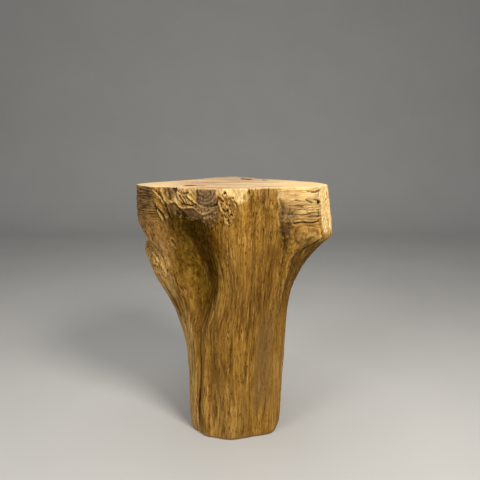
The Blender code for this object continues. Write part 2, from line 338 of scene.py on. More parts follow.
def hollowDepth(turn, height, wander):
    # the root hollow, cut short by the ledge: part of its depth at the edge, the rest further down, with
    # cups added and a ridge between them and the lip along the edge taken off
    below = along(ledge["edge"], turn + 0.5 * wander) + 0.0012 * wander - height
    inside = window(turn, *ledge["turns"], 1.2)
    step = ledge["step"] * (1.0 - 0.65 * ease(-24.0, -19.5, turn))
    drop = step * ease(-0.0005, 0.0035, below) + (1.0 - step) * ease(0.006, ledge["scoop"], below)
    depth = crease(turn, height, stump["rootHollow"]) * np.where(height > 0.66, drop, 1.0)
    depth += inside * 0.004 * ease(0.0, 0.003, below) * (1.0 - ease(0.02, 0.05, below))
    for *hill, size in ledge["cups"]:
        depth += size * spot(turn, height, *hill) * ease(0.0, 0.004, below)
    ridge = pathDistance(turn, height, ledge["cupRidge"], stump["reach"])
    depth -= 0.005 * np.exp(-(ridge / 0.0035) ** 2)
    lip = inside * (1.0 - ease(*ledge["lipEnd"], turn)) * np.exp(-((below + 0.0018) / 0.0021) ** 2)
    return depth - ledge["lip"] * lip, below, inside


def tornDepth(frontX, turn, height, wander):
    # the open split at the rim, a V that narrows as it runs down, and the torn ridges and grooves: each its
    # size times e to the minus squared share of its half width; with painted shade (dark) in the split, the
    # grooves and the holes, and a painted highlight (light) on the ridges
    front = window(turn, -60.0, 64.0, 4.0)
    across = frontX + 0.0007 * wander
    gap = lineDistance(across, height, ledge["cleft"])
    down = ease(0.803, 0.781, height)
    opened = np.clip(1.0 - gap / (ledge["cleftHalf"] - ledge["cleftTaper"] * down), 0.0, 1.0)
    depth = ledge["cleftDepth"] * (1.0 - 0.75 * down) * opened
    dark = ease(0.05, 0.32, opened) * (1.0 - 0.55 * ease(0.792, 0.776, height))
    light = 0.0
    for *path, size, half in ledge["torn"]:
        trace = np.exp(-(lineDistance(across, height + 0.0008 * wander, path) / half) ** 2)
        depth = depth - size * trace
        if size > 0.0:
            light = np.maximum(light, trace)
        else:
            dark = np.maximum(dark, np.clip(-size / 0.0070, 0.0, 1.0) * ease(0.45, 0.95, trace))
    for holeX, holeHeight, radius, deep in ledge["holes"]:
        gap = np.hypot(frontX - holeX, height - holeHeight) / radius
        depth = depth + deep * (1.0 - ease(0.45, 1.05, gap))
        dark = np.maximum(dark, 1.0 - ease(0.85, 1.15, gap))
    return front * depth, front * dark, front * light


# the small root's cut end with its rings, and the burl beside it

ringEnd = dict(
    turn=-17.0, height=0.7915, halfWidth=0.0275, halfHeight=0.0385, corner=0.013,
    plane=0.2530,            # distance of the flat end from the axis
    reach=0.252,             # radius at which it is rolled out
    centre=(-18.5, 0.7960),  # direction and height of the rings' middle
    gap=0.0026,              # depth of the crack beside it
)

burl = dict(
    slant=(0.93, 0.37),      # how the torn grain's across is made of x and height
    proud=0.0035,            # how far the burl stands out
    # height, x of the middle as seen from the front, half width: it narrows downwards and ends under a
    # pale wedge
    outline=((0.690, -0.0180, 0.0010), (0.696, -0.0182, 0.0026), (0.711, -0.0167, 0.0120),
             (0.725, -0.0146, 0.0210), (0.742, -0.0165, 0.0280), (0.761, -0.0199, 0.0276),
             (0.774, -0.0235, 0.0245), (0.779, -0.0265, 0.0170), (0.785, -0.0255, 0.0075),
             (0.789, -0.0250, 0.0025), (0.792, -0.0250, 0.0005)),
    # flakes: number per metre across and along the torn grain, depth
    flakes=((165.0, 46.0, 0.0048), (330.0, 120.0, 0.0026)),
    # pits: x and height as seen from the front, radius, depth
    pits=((-0.0450, 0.783, 0.0030, 0.006), (-0.0240, 0.787, 0.0036, 0.008), (-0.0015, 0.7755, 0.0034, 0.007),
          (0.0075, 0.7600, 0.0028, 0.005), (-0.0289, 0.765, 0.0030, 0.006), (-0.0127, 0.753, 0.0032, 0.006),
          (-0.0180, 0.738, 0.0030, 0.006), (-0.0050, 0.728, 0.0028, 0.005), (-0.0150, 0.712, 0.0024, 0.005)),
)


def ringEndShape(turn, height):
    # signed distance from a square with rounded corners, below zero inside
    across = np.radians(turnBetween(turn, ringEnd["turn"])) * ringEnd["reach"]
    dx = np.abs(across) - ringEnd["halfWidth"] + ringEnd["corner"]
    dz = np.abs(height - ringEnd["height"]) - ringEnd["halfHeight"] + ringEnd["corner"]
    outside = np.hypot(np.maximum(dx, 0.0), np.maximum(dz, 0.0)) + np.minimum(np.maximum(dx, dz), 0.0)
    return outside - ringEnd["corner"], across


def slanted(frontX, height, share):
    # two directions of a torn grain as seen from the front: across it, and down along it
    wide, tall = share
    return wide * frontX + tall * height, tall * frontX - wide * height


def burlMask(frontX, turn, height, wander):
    # 1 inside the outline, an S to 0 over the outer part of its half width
    across = np.abs(frontX + 0.0035 * wander - along(burl["outline"], height))
    across = across / along(burl["outline"], height, 2)
    return (1.0 - ease(0.75, 1.15, across)) * window(turn, -30.0, 30.0, 2.0)


def burlDepth(frontX, height):
    # flakes: the valleys of a noise stretched along a steep grain, and a few round pits
    depth = 0.0
    flakeAcross, flakeAlong = slanted(frontX, height, burl["slant"])
    for across, down, size in burl["flakes"]:
        noise = flatNoise(flakeAcross * across, flakeAlong * down, 2.7, 71)
        depth = depth + size * (1.0 - ease(0.0, 0.55, np.abs(noise)))
    for pitX, pitHeight, radius, deep in burl["pits"]:
        depth = depth + deep * np.exp(-(np.hypot(frontX - pitX, height - pitHeight) / radius) ** 2)
    return depth


# the right stub: level grooves, the swelling under them and the furrow beside them

rightStub = dict(
    turns=(38.5, 55.0),      # first and last direction of its sawn face
    # height, first and last direction, depth, half width
    grooves=((0.7565, 36, 40, 0.0030, 0.0015), (0.7560, 45, 50, 0.0022, 0.0012),
             (0.7490, 36, 43, 0.0042, 0.0016), (0.7475, 44, 54, 0.0032, 0.0013),
             (0.7405, 43, 51, 0.0032, 0.0013), (0.7330, 44, 49, 0.0026, 0.0014),
             (0.7335, 50, 54, 0.0040, 0.0015), (0.7240, 37, 49, 0.0036, 0.0015),
             (0.7180, 46, 52, 0.0042, 0.0015), (0.7110, 40, 49, 0.0026, 0.0013),
             (0.6930, 44, 54, 0.0026, 0.0015)),
    # the swelling under the grooves ends below in an edge that climbs to the right: direction, height
    under=((34, 0.560), (40, 0.585), (45, 0.610), (49, 0.634), (52, 0.652), (56, 0.662), (66, 0.662)),
    swell=0.0065,            # how far the swelling stands out
    undercut=0.0042,         # depth of the wood just under it
    # the furrow's floor line: radius at which it is rolled out, half width, depth at each height, and its
    # way down in direction and height
    furrowReach=0.24, furrowHalf=0.0050,
    furrowDepth=((0.56, 0.0), (0.62, 0.0030), (0.67, 0.0034), (0.70, 0.0010), (0.735, 0.0010),
                 (0.750, 0.0028), (0.762, 0.0030), (0.770, 0.0006), (0.80, 0.0)),
    furrow=((30.5, 0.806), (31.0, 0.778), (33.6, 0.745), (35.0, 0.705), (36.2, 0.664), (38.0, 0.620),
            (40.0, 0.585)),
)


def rightStubDepth(turn, height, wander):
    # level grooves and the furrow's floor line: each its depth times e to the minus squared share of its
    # half width; the swelling stands out by a constant that ends below in an undercut
    depth = 0.0
    for middle, first, last, size, half in rightStub["grooves"]:
        line = height - middle - 0.0022 * wander - 0.0006 * np.sin(0.9 * turn + 300.0 * middle)
        depth = depth + size * np.exp(-(line / half) ** 2) * window(turn, first, last, 1.0)
    gap = pathDistance(turn + 0.5 * wander, height, rightStub["furrow"], rightStub["furrowReach"])
    floor = np.exp(-(gap / rightStub["furrowHalf"]) ** 2) * (1.0 + 0.5 * wander)
    depth = depth + along(rightStub["furrowDepth"], height) * floor
    above = height - along(rightStub["under"], turn) - 0.0015 * wander
    swell = window(turn, 41.0, 54.0, 2.5) * ease(-0.003, 0.012, above) * (1.0 - ease(0.680, 0.700, height))
    undercut = window(turn, 40.0, 60.0, 3.0) * ease(0.004, -0.004, above) * np.exp(-(above / 0.030) ** 2)
    undercut = undercut * (0.45 + 0.55 * ease(44.0, 52.0, turn))
    return depth - rightStub["swell"] * swell + rightStub["undercut"] * undercut


# grooves of the left root, the foot's crack and the knots

leftRoot = dict(
    # thin grooves down the left root, as seen from the front: x and height points, depth, half width
    grooves=(((-0.2600, 0.668), (-0.2479, 0.654), (-0.2427, 0.636), (-0.2265, 0.621), (-0.2098, 0.601),
              (-0.2042, 0.591), 0.0062, 0.0026),
             ((-0.2640, 0.628), (-0.2567, 0.617), (-0.2356, 0.607), (-0.2206, 0.593), (-0.2152, 0.572),
              0.0042, 0.0021),
             ((-0.2660, 0.620), (-0.2559, 0.609), (-0.2455, 0.599), (-0.2299, 0.586), (-0.2180, 0.569),
              0.0036, 0.0020),
             ((-0.2596, 0.583), (-0.2422, 0.572), (-0.2311, 0.563), 0.0040, 0.0022),
             ((-0.2520, 0.598), (-0.2380, 0.588), (-0.2270, 0.575), 0.0030, 0.0018),
             ((-0.2412, 0.557), (-0.2300, 0.541), 0.0040, 0.0024),
             ((-0.1755, 0.540), (-0.1734, 0.532), (-0.1685, 0.513), (-0.1569, 0.503), (-0.1489, 0.493),
              0.0042, 0.0022),
             ((-0.1792, 0.647), (-0.1685, 0.631), 0.0040, 0.0024)),
    # swellings of its left side: direction, height, half width in degrees, half height, size
    swells=((-70.0, 0.624, 12.0, 0.008, 0.0030), (-66.0, 0.578, 14.0, 0.022, 0.0048)),
    # cracks near the foot: direction, height; the depth of the long one at each height; the radius at
    # which they are rolled out
    footCrack=((-44.2, -0.01), (-43.0, 0.05), (-42.0, 0.085), (-40.0, 0.152), (-38, 0.224), (-37, 0.288),
               (-34.5, 0.350)),
    crackDepth=((0.0, 0.0034), (0.05, 0.0046), (0.15, 0.0054), (0.24, 0.0040), (0.30, 0.0026), (0.35, 0.0)),
    sideCrack=((-58.0, 0.200), (-56.0, 0.168), (-54.0, 0.120), (-49.0, 0.096), (-44.0, 0.088)),
    crackReach=0.175,
    # the dark floor of the hollow: height, depth, half width in degrees
    core=((0.36, 0.0, 1.2), (0.44, 0.0020, 1.2), (0.52, 0.0040, 1.6), (0.56, 0.0090, 2.4),
          (0.61, 0.0110, 4.2), (0.66, 0.0070, 5.5), (0.70, 0.0, 6.0)),
    # direction, height, radius, rise of the ring round it
    knots=((-44.2, 0.104, 0.0080, 0.0030), (-24.0, 0.100, 0.0060, 0.0022), (22.0, 0.500, 0.006, 0.0015),
           (118.0, 0.330, 0.014, 0.0045), (-140.0, 0.520, 0.012, 0.0040)),
)


def leftRootDepth(frontX, turn, height, wander):
    # grooves and cracks: their depth times e to the minus squared share of their half width, with lower
    # ridges on both sides; swellings are round hills, knots a ring with a pit in its middle
    depth = 0.0
    left = window(turn, -78.0, -30.0, 6.0)
    for *path, size, half in leftRoot["grooves"]:
        gap = lineDistance(frontX, height + 0.0008 * wander, path)
        groove = 1.25 * np.exp(-(gap / half) ** 2) - 0.45 * np.exp(-((gap - 2.1 * half) / half) ** 2)
        depth = depth + left * size * groove
    for *hill, size in leftRoot["swells"]:
        depth = depth - size * spot(turn, height, *hill)
    gap = pathDistance(turn, height, leftRoot["sideCrack"], leftRoot["crackReach"])
    depth = depth + 0.0030 * np.exp(-(gap / 0.0018) ** 2)
    gap = pathDistance(turn + 0.35 * wander, height, leftRoot["footCrack"], leftRoot["crackReach"])
    crack = np.exp(-(gap / 0.0019) ** 2) - 0.25 * np.exp(-((gap - 0.0050) / 0.0024) ** 2)
    depth = depth + along(leftRoot["crackDepth"], height) * crack
    gap = turnBetween(turn, along(stump["hollowFloor"], height) + 0.6 * wander)
    gap = gap / along(leftRoot["core"], height, 2)
    depth = depth + along(leftRoot["core"], height) * np.exp(-gap ** 2)
    for turnK, heightK, radius, rise in leftRoot["knots"]:
        gap = np.hypot(np.radians(turnBetween(turn, turnK)) * 0.18, 0.62 * (height - heightK)) / radius
        depth = depth - rise * np.exp(-((gap - 1.0) / 0.45) ** 2) + rise * np.exp(-(gap / 0.55) ** 2)
    return depth


# weathered fibres all over

fibres = dict(
    around=0.19,             # radius of the cylinder on which the fibres are drawn
    swayScale=4.0, sway=1.3, # slow wander of the fibres to the side, in degrees
    slant=(0.79, 0.62),      # how the broken wood's across is made of x and height
    # size, strands per metre across, per metre along, seed
    strands=((0.0012, 50.0, 3.6, 11), (0.0012, 100.0, 9.0, 23), (0.0010, 185.0, 20.0, 37)),
    # thin valleys: the same, and how much of the surface they leave alone
    checks=((0.0032, 68.0, 5.0, 51, 0.36), (0.0024, 145.0, 13.0, 67, 0.38)),
    crumbs=0.0030,           # depth of the crumbling where the wood is torn
)


def fibreTurn(turn, height):
    # the direction at which a fibre would meet the top: fibres lean along the hollow and sway a little
    floor = along(stump["hollowFloor"], height)
    near = np.exp(-(turnBetween(turn, floor) / 22.0) ** 2)
    x, y = np.sin(np.radians(turn)), -np.cos(np.radians(turn))
    sway = latticeNoise(x * 1.6 + 5.1, y * 1.6, height * fibres["swayScale"], 5) * fibres["sway"]
    return turn - (floor + 31.0) * near * 0.9 + sway


def checkGroove(x, y, z, across, down, seed, share):
    # thin valleys: where a noise comes close to zero, and a second noise lets them open
    field = latticeNoise(x * across, y * across, z * down, seed)
    gate = latticeNoise(x * across * 0.23 + 7.0, y * across * 0.23, z * down * 0.8, seed + 1)
    return np.clip(1.0 - np.abs(field) / 0.10, 0.0, 1.0) * ease(share - 0.30, share + 0.10, gate)


# places with a tone, or with a roughness, of their own

tints = dict(
    # share, first and last direction, softness, lowest and highest height (-1: from the floor up), softness
    crumbly=((0.75, 34.0, 80.0, 4.0, 0.40, 0.69, 0.03), (1.0, 33.5, 41.0, 2.0, 0.60, 0.745, 0.02)),
    olive=((0.68, -45.0, -34.0, 3.0, 0.54, 0.715, 0.025),),
    pale=((0.38, 31.0, 39.0, 1.2, 0.705, 0.760, 0.008), (0.22, -95.0, -47.0, 3.0, 0.48, 0.630, 0.02),
          (0.16, -95.0, -43.0, 2.0, -1.0, 0.38, 0.04)),
    golden=((0.66, -95.0, -42.5, 2.0, -1.0, 0.41, 0.05), (0.25, -42.5, 12.0, 3.0, -1.0, 0.17, 0.07),
            (0.24, 39.0, 70.0, 3.0, -1.0, 0.25, 0.05)),
    # deepen: painted shade under the right stub's swelling
    deepenAndShade=((0.85, 34.0, 60.0, 3.0, 0.40, 0.600, 0.03),),
    soft=((0.30, -400.0, 400.0, 1.0, -1.0, 0.375, 0.075), (0.50, 38.0, 80.0, 4.0, -1.0, 0.55, 0.05)),
    # share, direction and height of the middle, half width in degrees, half height
    goldenHills=((0.60, 46.5, 0.664, 4.5, 0.026), (0.60, -68.0, 0.693, 11.0, 0.015)),
    # core: the darkest part of the hollow, dark stain with painted shade; moss: yellow-green streaks left of
    # it
    coreHills=((1.2, -26.5, 0.625, 6.5, 0.062), (0.7, -22.0, 0.560, 4.0, 0.045)),
    mossHills=((1.0, -38.0, 0.632, 2.6, 0.015), (0.8, -33.5, 0.568, 3.2, 0.038)),
    # lower edges of the cream wood: direction, height
    wedge=((-11, 0.784), (-2, 0.778), (3, 0.758), (8, 0.765)),
    cream=((30, 0.754), (36, 0.758), (40, 0.765), (45, 0.768), (50, 0.770), (56, 0.760)),
)


# the whole surface

grid = dict(
    columns=540, footRings=3,
    # first and last direction, how many times closer the columns stand there
    crowded=((-66.0, 70.0, 2.0), (-54.0, -18.0, 1.3), (-53.0, -43.5, 1.7)),
    # rows of the side below the rim, and how close together they lie at each height
    rows=153, rowShares=((0.0, 1.0), (0.40, 1.15), (0.50, 1.9), (0.66, 2.8), (0.70, 5.2), (0.80, 5.2)),
    rimRows=(0.7985, 0.7993, 0.8),
    # rings of the top as shares of the way from the middle to the rim, from one share to the next
    topShares=((1.0, 5), (0.80, 14), (0.62, 7), (0.0, 0)),
    rimRound=0.0022,
)


def evenSteps(sample, weight, count):
    # count values of sample, spaced so that the weight between each and the next is the same
    total = np.concatenate(([0.0], np.cumsum(0.5 * (weight[1:] + weight[:-1]))))
    return np.interp(np.arange(count) / count * total[-1], total, sample)


def columnTurns():
    # directions of the columns, closer together over the front
    sample = np.linspace(-180.0, 180.0, 7201)
    weight = np.ones(len(sample))
    for first, last, share in grid["crowded"]:
        weight *= 1.0 + (share - 1.0) * window(sample, first, last, 3.0)
    return evenSteps(sample, weight, grid["columns"])


def rowHeights():
    # heights of the side's rows, closer together towards the top
    sample = np.linspace(0.0, grid["rimRows"][0], 4001)
    heights = evenSteps(sample, along(grid["rowShares"], sample), grid["rows"])
    return np.concatenate((heights, grid["rimRows"]))


def heldAtCuts(radius, turn, height, slow):
    # the smaller of the radius and the distance of each root's sawn plane, with a soft edge between them
    soft = stump["cutEdge"]
    for direction, distance, lean in stump["rootEnds"]:
        away = turnBetween(turn, direction)
        plane = distance - lean * (height - stump["cutHeight"])
        limit = plane / np.cos(np.radians(np.clip(away, -72.0, 72.0)))
        limit = np.where(np.abs(away) > 72.0, 9.0, limit) + 0.0010 * slow
        closer = np.minimum(radius, limit)
        radius = closer - soft * np.log(np.exp(-(radius - closer) / soft) + np.exp(-(limit - closer) / soft))
    return radius


def sideSurface(turn, height):
    # radius at each direction and height: the grown radius less hollow and furrow, flat at the ring end and
    # at the roots' cuts, less the depths of all marks; with the masks that the wood's colours need
    rad = np.radians(turn)
    x, y = np.sin(rad) * fibres["around"], -np.cos(rad) * fibres["around"]
    wander = layeredNoise(x * 60.0, y * 60.0, height * 60.0, 3, 2)
    slow = layeredNoise(x * 14.0, y * 14.0, height * 9.0, 9, 3)
    strandTurn = np.radians(fibreTurn(turn, height) + 0.25 * wander)
    fx, fy = np.sin(strandTurn) * fibres["around"], -np.cos(strandTurn) * fibres["around"]

    hollow, below, underLedge = hollowDepth(turn, height, wander)
    onLedge = ease(0.0, 0.004, -below)
    furrow = crease(turn, height, stump["stubFurrow"]) * (0.60 - 0.56 * ease(0.715, 0.765, height))
    radius = grownRadius(turn, height) - hollow - furrow
    ringEdge, ringAcross = ringEndShape(turn, height)
    inRing = 1.0 - ease(-0.0016, 0.0006, ringEdge)
    facing = ringEnd["plane"] / np.cos(np.radians(turnBetween(turn, ringEnd["turn"])))
    radius = radius + (facing - radius) * inRing * onLedge
    radius = heldAtCuts(radius, turn, height, slow)

    # seen from the front: x, and the torn grain's own directions, which run down to the right
    frontX = stump["axis"][0] + radius * np.sin(rad)
    slantAcross, slantAlong = slanted(frontX, height, fibres["slant"])
    slantAcross = slantAcross + 0.0006 * wander
    # split: painted shade in the open split, the torn grooves and the holes; light: a painted highlight on
    # ridges
    torn, split, light = tornDepth(frontX, turn, height, wander)
    marks = torn * (1.0 - 0.85 * inRing)
    ringCrack = np.exp(-((ringEdge - 0.0022) / 0.0019) ** 2) * ease(-0.004, 0.008, ringAcross)
    marks = marks + ringEnd["gap"] * ringCrack * window(height, 0.752, 0.778, 0.004)

    inBurl = burlMask(frontX, turn, height, wander) * (1.0 - inRing)
    marks = marks + inBurl * (burlDepth(frontX, height) - burl["proud"])
    firstTurn, lastTurn = rightStub["turns"]
    firstTurn = firstTurn - 8.0 * ease(0.742, 0.760, height)
    stubFace = window(turn, firstTurn, lastTurn, 1.5) * ease(0.675, 0.70, height)
    marks = marks + rightStubDepth(turn, height, wander) + leftRootDepth(frontX, turn, height, wander)
    marks = marks - hills(turn, height, stump["footFill"])

    # roughness of the broken wood between the left root's end and the ring end
    broken = window(turn, -50.0, -23.5, 1.5) * ease(0.735, 0.756, height) * (1.0 - inRing) * onLedge
    broken = np.maximum(broken, window(turn, -51.0, -45.5, 1.2) * window(height, 0.700, 0.80, 0.008))
    slantFine = flatNoise(slantAcross * 190.0, slantAlong * 40.0, 3.3, 83)
    slantCoarse = flatNoise(slantAcross * 80.0, slantAlong * 22.0, 8.1, 89)
    marks = marks + broken * (0.0022 * np.abs(slantFine) + 0.0025 * slantCoarse)
    underRing = window(turn, -25.0, -11.5, 1.5) * window(height, 0.722, 0.754, 0.003) * (1.0 - inRing)
    wavy = flatNoise(frontX * 60.0, height * 190.0 + 0.9 * np.sin(frontX * 210.0), 5.5, 113)
    marks = marks - underRing * 0.0030 * wavy

    # crumbling: torn and pitted wood under the ledge, on the left root and under the right one
    leftKnob = window(turn, -84.0, -40.0, 6.0) * window(height, 0.50, 0.695, 0.03)
    leftKnob = leftKnob * (1.0 - 0.7 * spot(turn, height, -62.0, 0.610, 16.0, 0.034))
    onFloor = window(turn, -46.0, -14.0, 4.0) * ease(0.46, 0.54, height)
    crumbly = np.max([
        0.75 * leftKnob,
        underLedge * ease(0.0, 0.004, below) * (1.0 - ease(0.045, 0.075, below)),
        strongest(turn, height, tints["crumbly"]),
        0.45 * window(turn, -10.0, 34.0, 3.0) * ease(0.60, 0.72, height),
        0.35 * ease(0.40, 0.65, height),
        0.9 * inBurl,
        0.65 * onFloor * (1.0 - underLedge * ease(0.004, 0.0, below)),
    ], axis=0)
    flake = latticeNoise(fx * 150.0 + 0.4 * wander, fy * 150.0, height * 60.0, 101)
    flake = flake + 0.6 * latticeNoise(fx * 310.0, fy * 310.0, height * 135.0, 103)
    flakeHere = 0.5 * window(turn, -50.0, -12.0, 4.0)
    flake = flake + flakeHere * latticeNoise(fx * 120.0, fy * 120.0, height * 150.0, 107)
    marks = marks + crumbly * (1.0 - inBurl) * fibres["crumbs"] * (0.5 - ease(0.0, 0.7, np.abs(flake)))

    # the left root's end is sawn across the grain and has split in level lines
    leftEnd = ease(-92.0, -74.0, turn + 4.0 * wander) * ease(-48.5, -50.5, turn)
    leftEnd = leftEnd * ease(0.690, 0.712, height + 0.004 * wander)
    level = latticeNoise(x * 26.0, y * 26.0, height * 170.0, 95)
    levelFine = latticeNoise(x * 60.0 + 3.0, y * 60.0, height * 380.0, 97)
    marks = marks + leftEnd * (0.0036 * np.clip(-level, 0.0, 1.0) ** 1.5 + 0.0005 * levelFine)

    # strands and checks, weaker on the sawn and the torn faces
    calm = 1.0 - 0.75 * inRing - 0.75 * inBurl - 0.55 * stubFace - 0.55 * leftEnd - 0.3 * broken
    calm = np.clip(calm, 0.1, 1.0)
    rough = 0.30 + 0.25 * ease(0.02, 0.14, height) + 0.45 * ease(0.30, 0.62, height) + 0.25 * slow
    strand = sum(size * latticeNoise(fx * across, fy * across, height * down, seed)
                 for size, across, down, seed in fibres["strands"])
    checks = sum(size * checkGroove(fx, fy, height, across, down, seed, share)
                 for size, across, down, seed, share in fibres["checks"])
    checks = checks * (0.45 + 0.55 * ease(0.25, 0.48, height))
    marks = marks + calm * (checks - strand * rough) + 0.0022 * slow * ease(0.25, 0.6, height) * calm

    # the rim is chipped, and the foot's edge worn smooth: close to the floor the radius turns into its mean
    # over the neighbours
    chip = ease(0.25, 0.9, latticeNoise(x * 95.0, y * 95.0, height * 40.0, 41))
    nearRim = (1.0 - ease(0.0, 0.0035, stump["height"] - height)) ** 2
    radius = radius - marks - (grid["rimRound"] + 0.0018 * chip) * nearRim
    radius = radius - 0.0020 * (1.0 - ease(0.0, 0.005, height))
    radius = radius + 0.95 * (blurRound(radius, 16) - radius) * (1.0 - ease(0.0, 0.050, height)) ** 1.5

    # the burl's grain runs more steeply than that of the broken wood
    steepAcross, steepAlong = slanted(frontX, height, burl["slant"])
    slantAcross = np.where(inBurl > 0.02, steepAcross, slantAcross)
    slantAlong = np.where(inBurl > 0.02, steepAlong, slantAlong)
    cups = underLedge * ease(0.0, 0.003, below) * (1.0 - ease(0.020, 0.048, below))
    masks = dict(
        below=below, underLedge=underLedge, cups=cups, inRing=inRing, underRing=underRing, inBurl=inBurl,
        stubFace=stubFace, crumbly=crumbly, split=split, light=light, broken=broken, leftEnd=leftEnd,
        wander=wander, slantAcross=slantAcross, slantAlong=slantAlong, fx=fx, fy=fy,
        hollow=crease(turn, height, stump["rootHollow"]),
    )
    return radius, masks


sawnTop = dict(
    # the block beside the split has sunk: first and last direction, share where it starts, its fall
    sunk=((-35.5, -27.5, 0.672, 0.0014),),
    # slits: first and last direction, share at both, fall on the near side, +1 when that is the outer side
    slits=((-46.0, -37.5, 0.715, 0.640, 0.0034, 1), (151.0, 173.0, 0.790, 0.735, 0.0040, -1),
           (118.0, 133.0, 0.800, 0.770, 0.0022, -1)),
)


def topFall(turn, share):
    # how far the top lies below its full height at a direction and a share of the way to the rim: a step
    # down past each line, risen again behind a slit
    wobble = 0.008 * np.sin(np.radians(turn) * 37.0) + 0.005 * np.sin(np.radians(turn) * 83.0 + 1.0)
    fall = 0.0
    for first, last, start, size in sawnTop["sunk"]:
        fall = fall + size * window(turn, first, last, 1.5) * ease(start, start + 0.020, share + wobble)
    for first, last, shareA, shareB, size, outer in sawnTop["slits"]:
        past = outer * (share + 0.25 * wobble - np.interp(turn, (first, last), (shareA, shareB)))
        slit = ease(0.0, 0.016, past) * (1.0 - ease(0.02, 0.22, past))
        fall = fall + size * window(turn, first, last, 2.0) * slit
    return fall


def blockGrid(turn, height, radius):
    # rings from the foot's middle out, up the side, and in over the top: x, y, z of every point
    axisX, axisY = stump["axis"]
    x = axisX + radius * np.sin(np.radians(turn))
    y = axisY - radius * np.cos(np.radians(turn))
    footShares = np.arange(1, grid["footRings"] + 1)[:, None] / (grid["footRings"] + 1)
    shares, counts = zip(*grid["topShares"])
    topShares = np.concatenate([np.linspace(high, low, count, endpoint=False)
                                for high, low, count in zip(shares, shares[1:], counts)])[1:, None]
    sideZ = height - topFall(turn, np.ones_like(height)) * ease(0.775, 0.7985, height)
    allX = np.vstack((axisX + footShares * (x[0] - axisX), x, axisX + topShares * (x[-1] - axisX)))
    allY = np.vstack((axisY + footShares * (y[0] - axisY), y, axisY + topShares * (y[-1] - axisY)))
    allZ = np.vstack((0.0 * footShares * x[0], sideZ, stump["height"] - topFall(turn[:1], topShares)))
    rows = dict(foot=len(footShares), side=len(height), top=len(topShares), topShares=topShares)
    return boundPoints(allX, allY, allZ) + (rows,)


def boundPoints(allX, allY, allZ):
    # nothing of the surface leaves the solid's box
    low, high = np.array(cadBox)[:, :2] + [[1e-5], [-1e-5]]
    return (np.clip(allX, low[0], high[0]), np.clip(allY, low[1], high[1]),
            np.clip(allZ, 0.0, stump["height"]))


def closedMesh(name, allX, allY, allZ, footPole, topPole):
    # quads between neighbouring rings, and a fan of triangles at each pole
    ringCount, columns = allX.shape
    points = np.concatenate((np.stack((allX, allY, allZ), -1).reshape(-1, 3), [footPole, topPole]))
    ring = np.arange(ringCount - 1)[:, None] * columns
    this = np.arange(columns)[None, :]
    following = (this + 1) % columns
    corners = (ring + this, ring + following, ring + columns + following, ring + columns + this)
    quads = np.stack(corners, -1).reshape(-1, 4)
    foot, top = ringCount * columns, ringCount * columns + 1
    this, following = this[0], following[0]
    last = (ringCount - 1) * columns
    fans = np.concatenate((np.stack((np.full(columns, foot), following, this), -1),
                           np.stack((last + this, last + following, np.full(columns, top)), -1)))
    mesh = bpy.data.meshes.new(name)
    mesh.vertices.add(len(points))
    mesh.vertices.foreach_set("co", points.astype(np.float32).ravel())
    mesh.loops.add(quads.size + fans.size)
    mesh.loops.foreach_set("vertex_index", np.concatenate((quads.ravel(), fans.ravel())).astype(np.int32))
    mesh.polygons.add(len(quads) + len(fans))
    starts = np.concatenate((np.arange(len(quads)) * 4, quads.size + np.arange(len(fans)) * 3))
    mesh.polygons.foreach_set("loop_start", starts.astype(np.int32))
    mesh.update(calc_edges=True)
    mesh.shade_smooth()
    mesh.validate()
    return mesh


def addField(mesh, name, values, footValue=0.0, topValue=0.0):
    # a number at every point of the mesh, for the material
    field = mesh.attributes.new(name, "FLOAT", "POINT")
    numbers = np.concatenate((values.ravel(), [footValue, topValue]))
    field.data.foreach_set("value", numbers.astype(np.float32))


def addVectors(mesh, name, x, y, z, footVector, topVector):
    # three numbers at every point of the mesh
    field = mesh.attributes.new(name, "FLOAT_VECTOR", "POINT")
    values = np.concatenate((np.stack((x, y, z), -1).reshape(-1, 3), [footVector, topVector]))
    field.data.foreach_set("vector", values.astype(np.float32).ravel())


def wholeField(side, rows, foot=None, top=None):
    # the side's values between rows for the foot and the top: a constant, or the side's own end row
    footRow = side[:1] if foot is None else np.full_like(side[:1], foot)
    topRow = side[-1:] if top is None else np.full_like(side[-1:], top)
    return np.vstack((np.repeat(footRow, rows["foot"], 0), side, np.repeat(topRow, rows["top"], 0)))


def reliefFields(turn, height, radius, masks):
    # dip and rise: how far a point lies behind or before the mean of its near neighbours, for painted shade
    # in grooves and a painted highlight on ridges; cave: the same over a hand's width, for painted shade in
    # hollows; underneath: how fast the radius grows with height, for painted shade under overhangs
    ringMean = blurRound(radius, 3)
    nearMean = ringMean + (blurUp(ringMean, 3) - ringMean) * ease(0.60, 0.70, height)
    dipShade = np.clip((nearMean - radius) / 0.0026, 0.0, 1.0) * ease(0.7998, 0.797, height)
    dipShade = dipShade * (1.0 - 0.45 * masks["cups"])
    dipShade = dipShade * (1.0 - 0.90 * window(turn, -12.6, -9.0, 0.5) * ease(0.764, 0.776, height))
    rise = np.clip((radius - nearMean) / 0.0026, 0.0, 1.0) * (1.0 - 0.8 * masks["inRing"])
    caveShade = np.clip((blurUp(blurRound(radius, 14), 10) - radius) / 0.012, 0.0, 1.0)
    caveShade = caveShade * (1.0 - 0.75 * masks["cups"])
    growth = np.gradient(blurUp(blurRound(radius, 2), 2), axis=0) / np.gradient(height, axis=0)
    underShade = ease(0.20, 1.1, growth) * (0.40 + 0.60 * ease(20.0, 45.0, turn))
    # painted shade under the right stub
    stubUnderShade = window(turn, 48.0, 110.0, 5.0) * window(height, 0.46, 0.652, 0.012)
    underShade = np.maximum(underShade, stubUnderShade * ease(0.15, 0.6, growth))
    return dict(dipShade=dipShade, rise=rise, caveShade=caveShade, underShade=underShade)


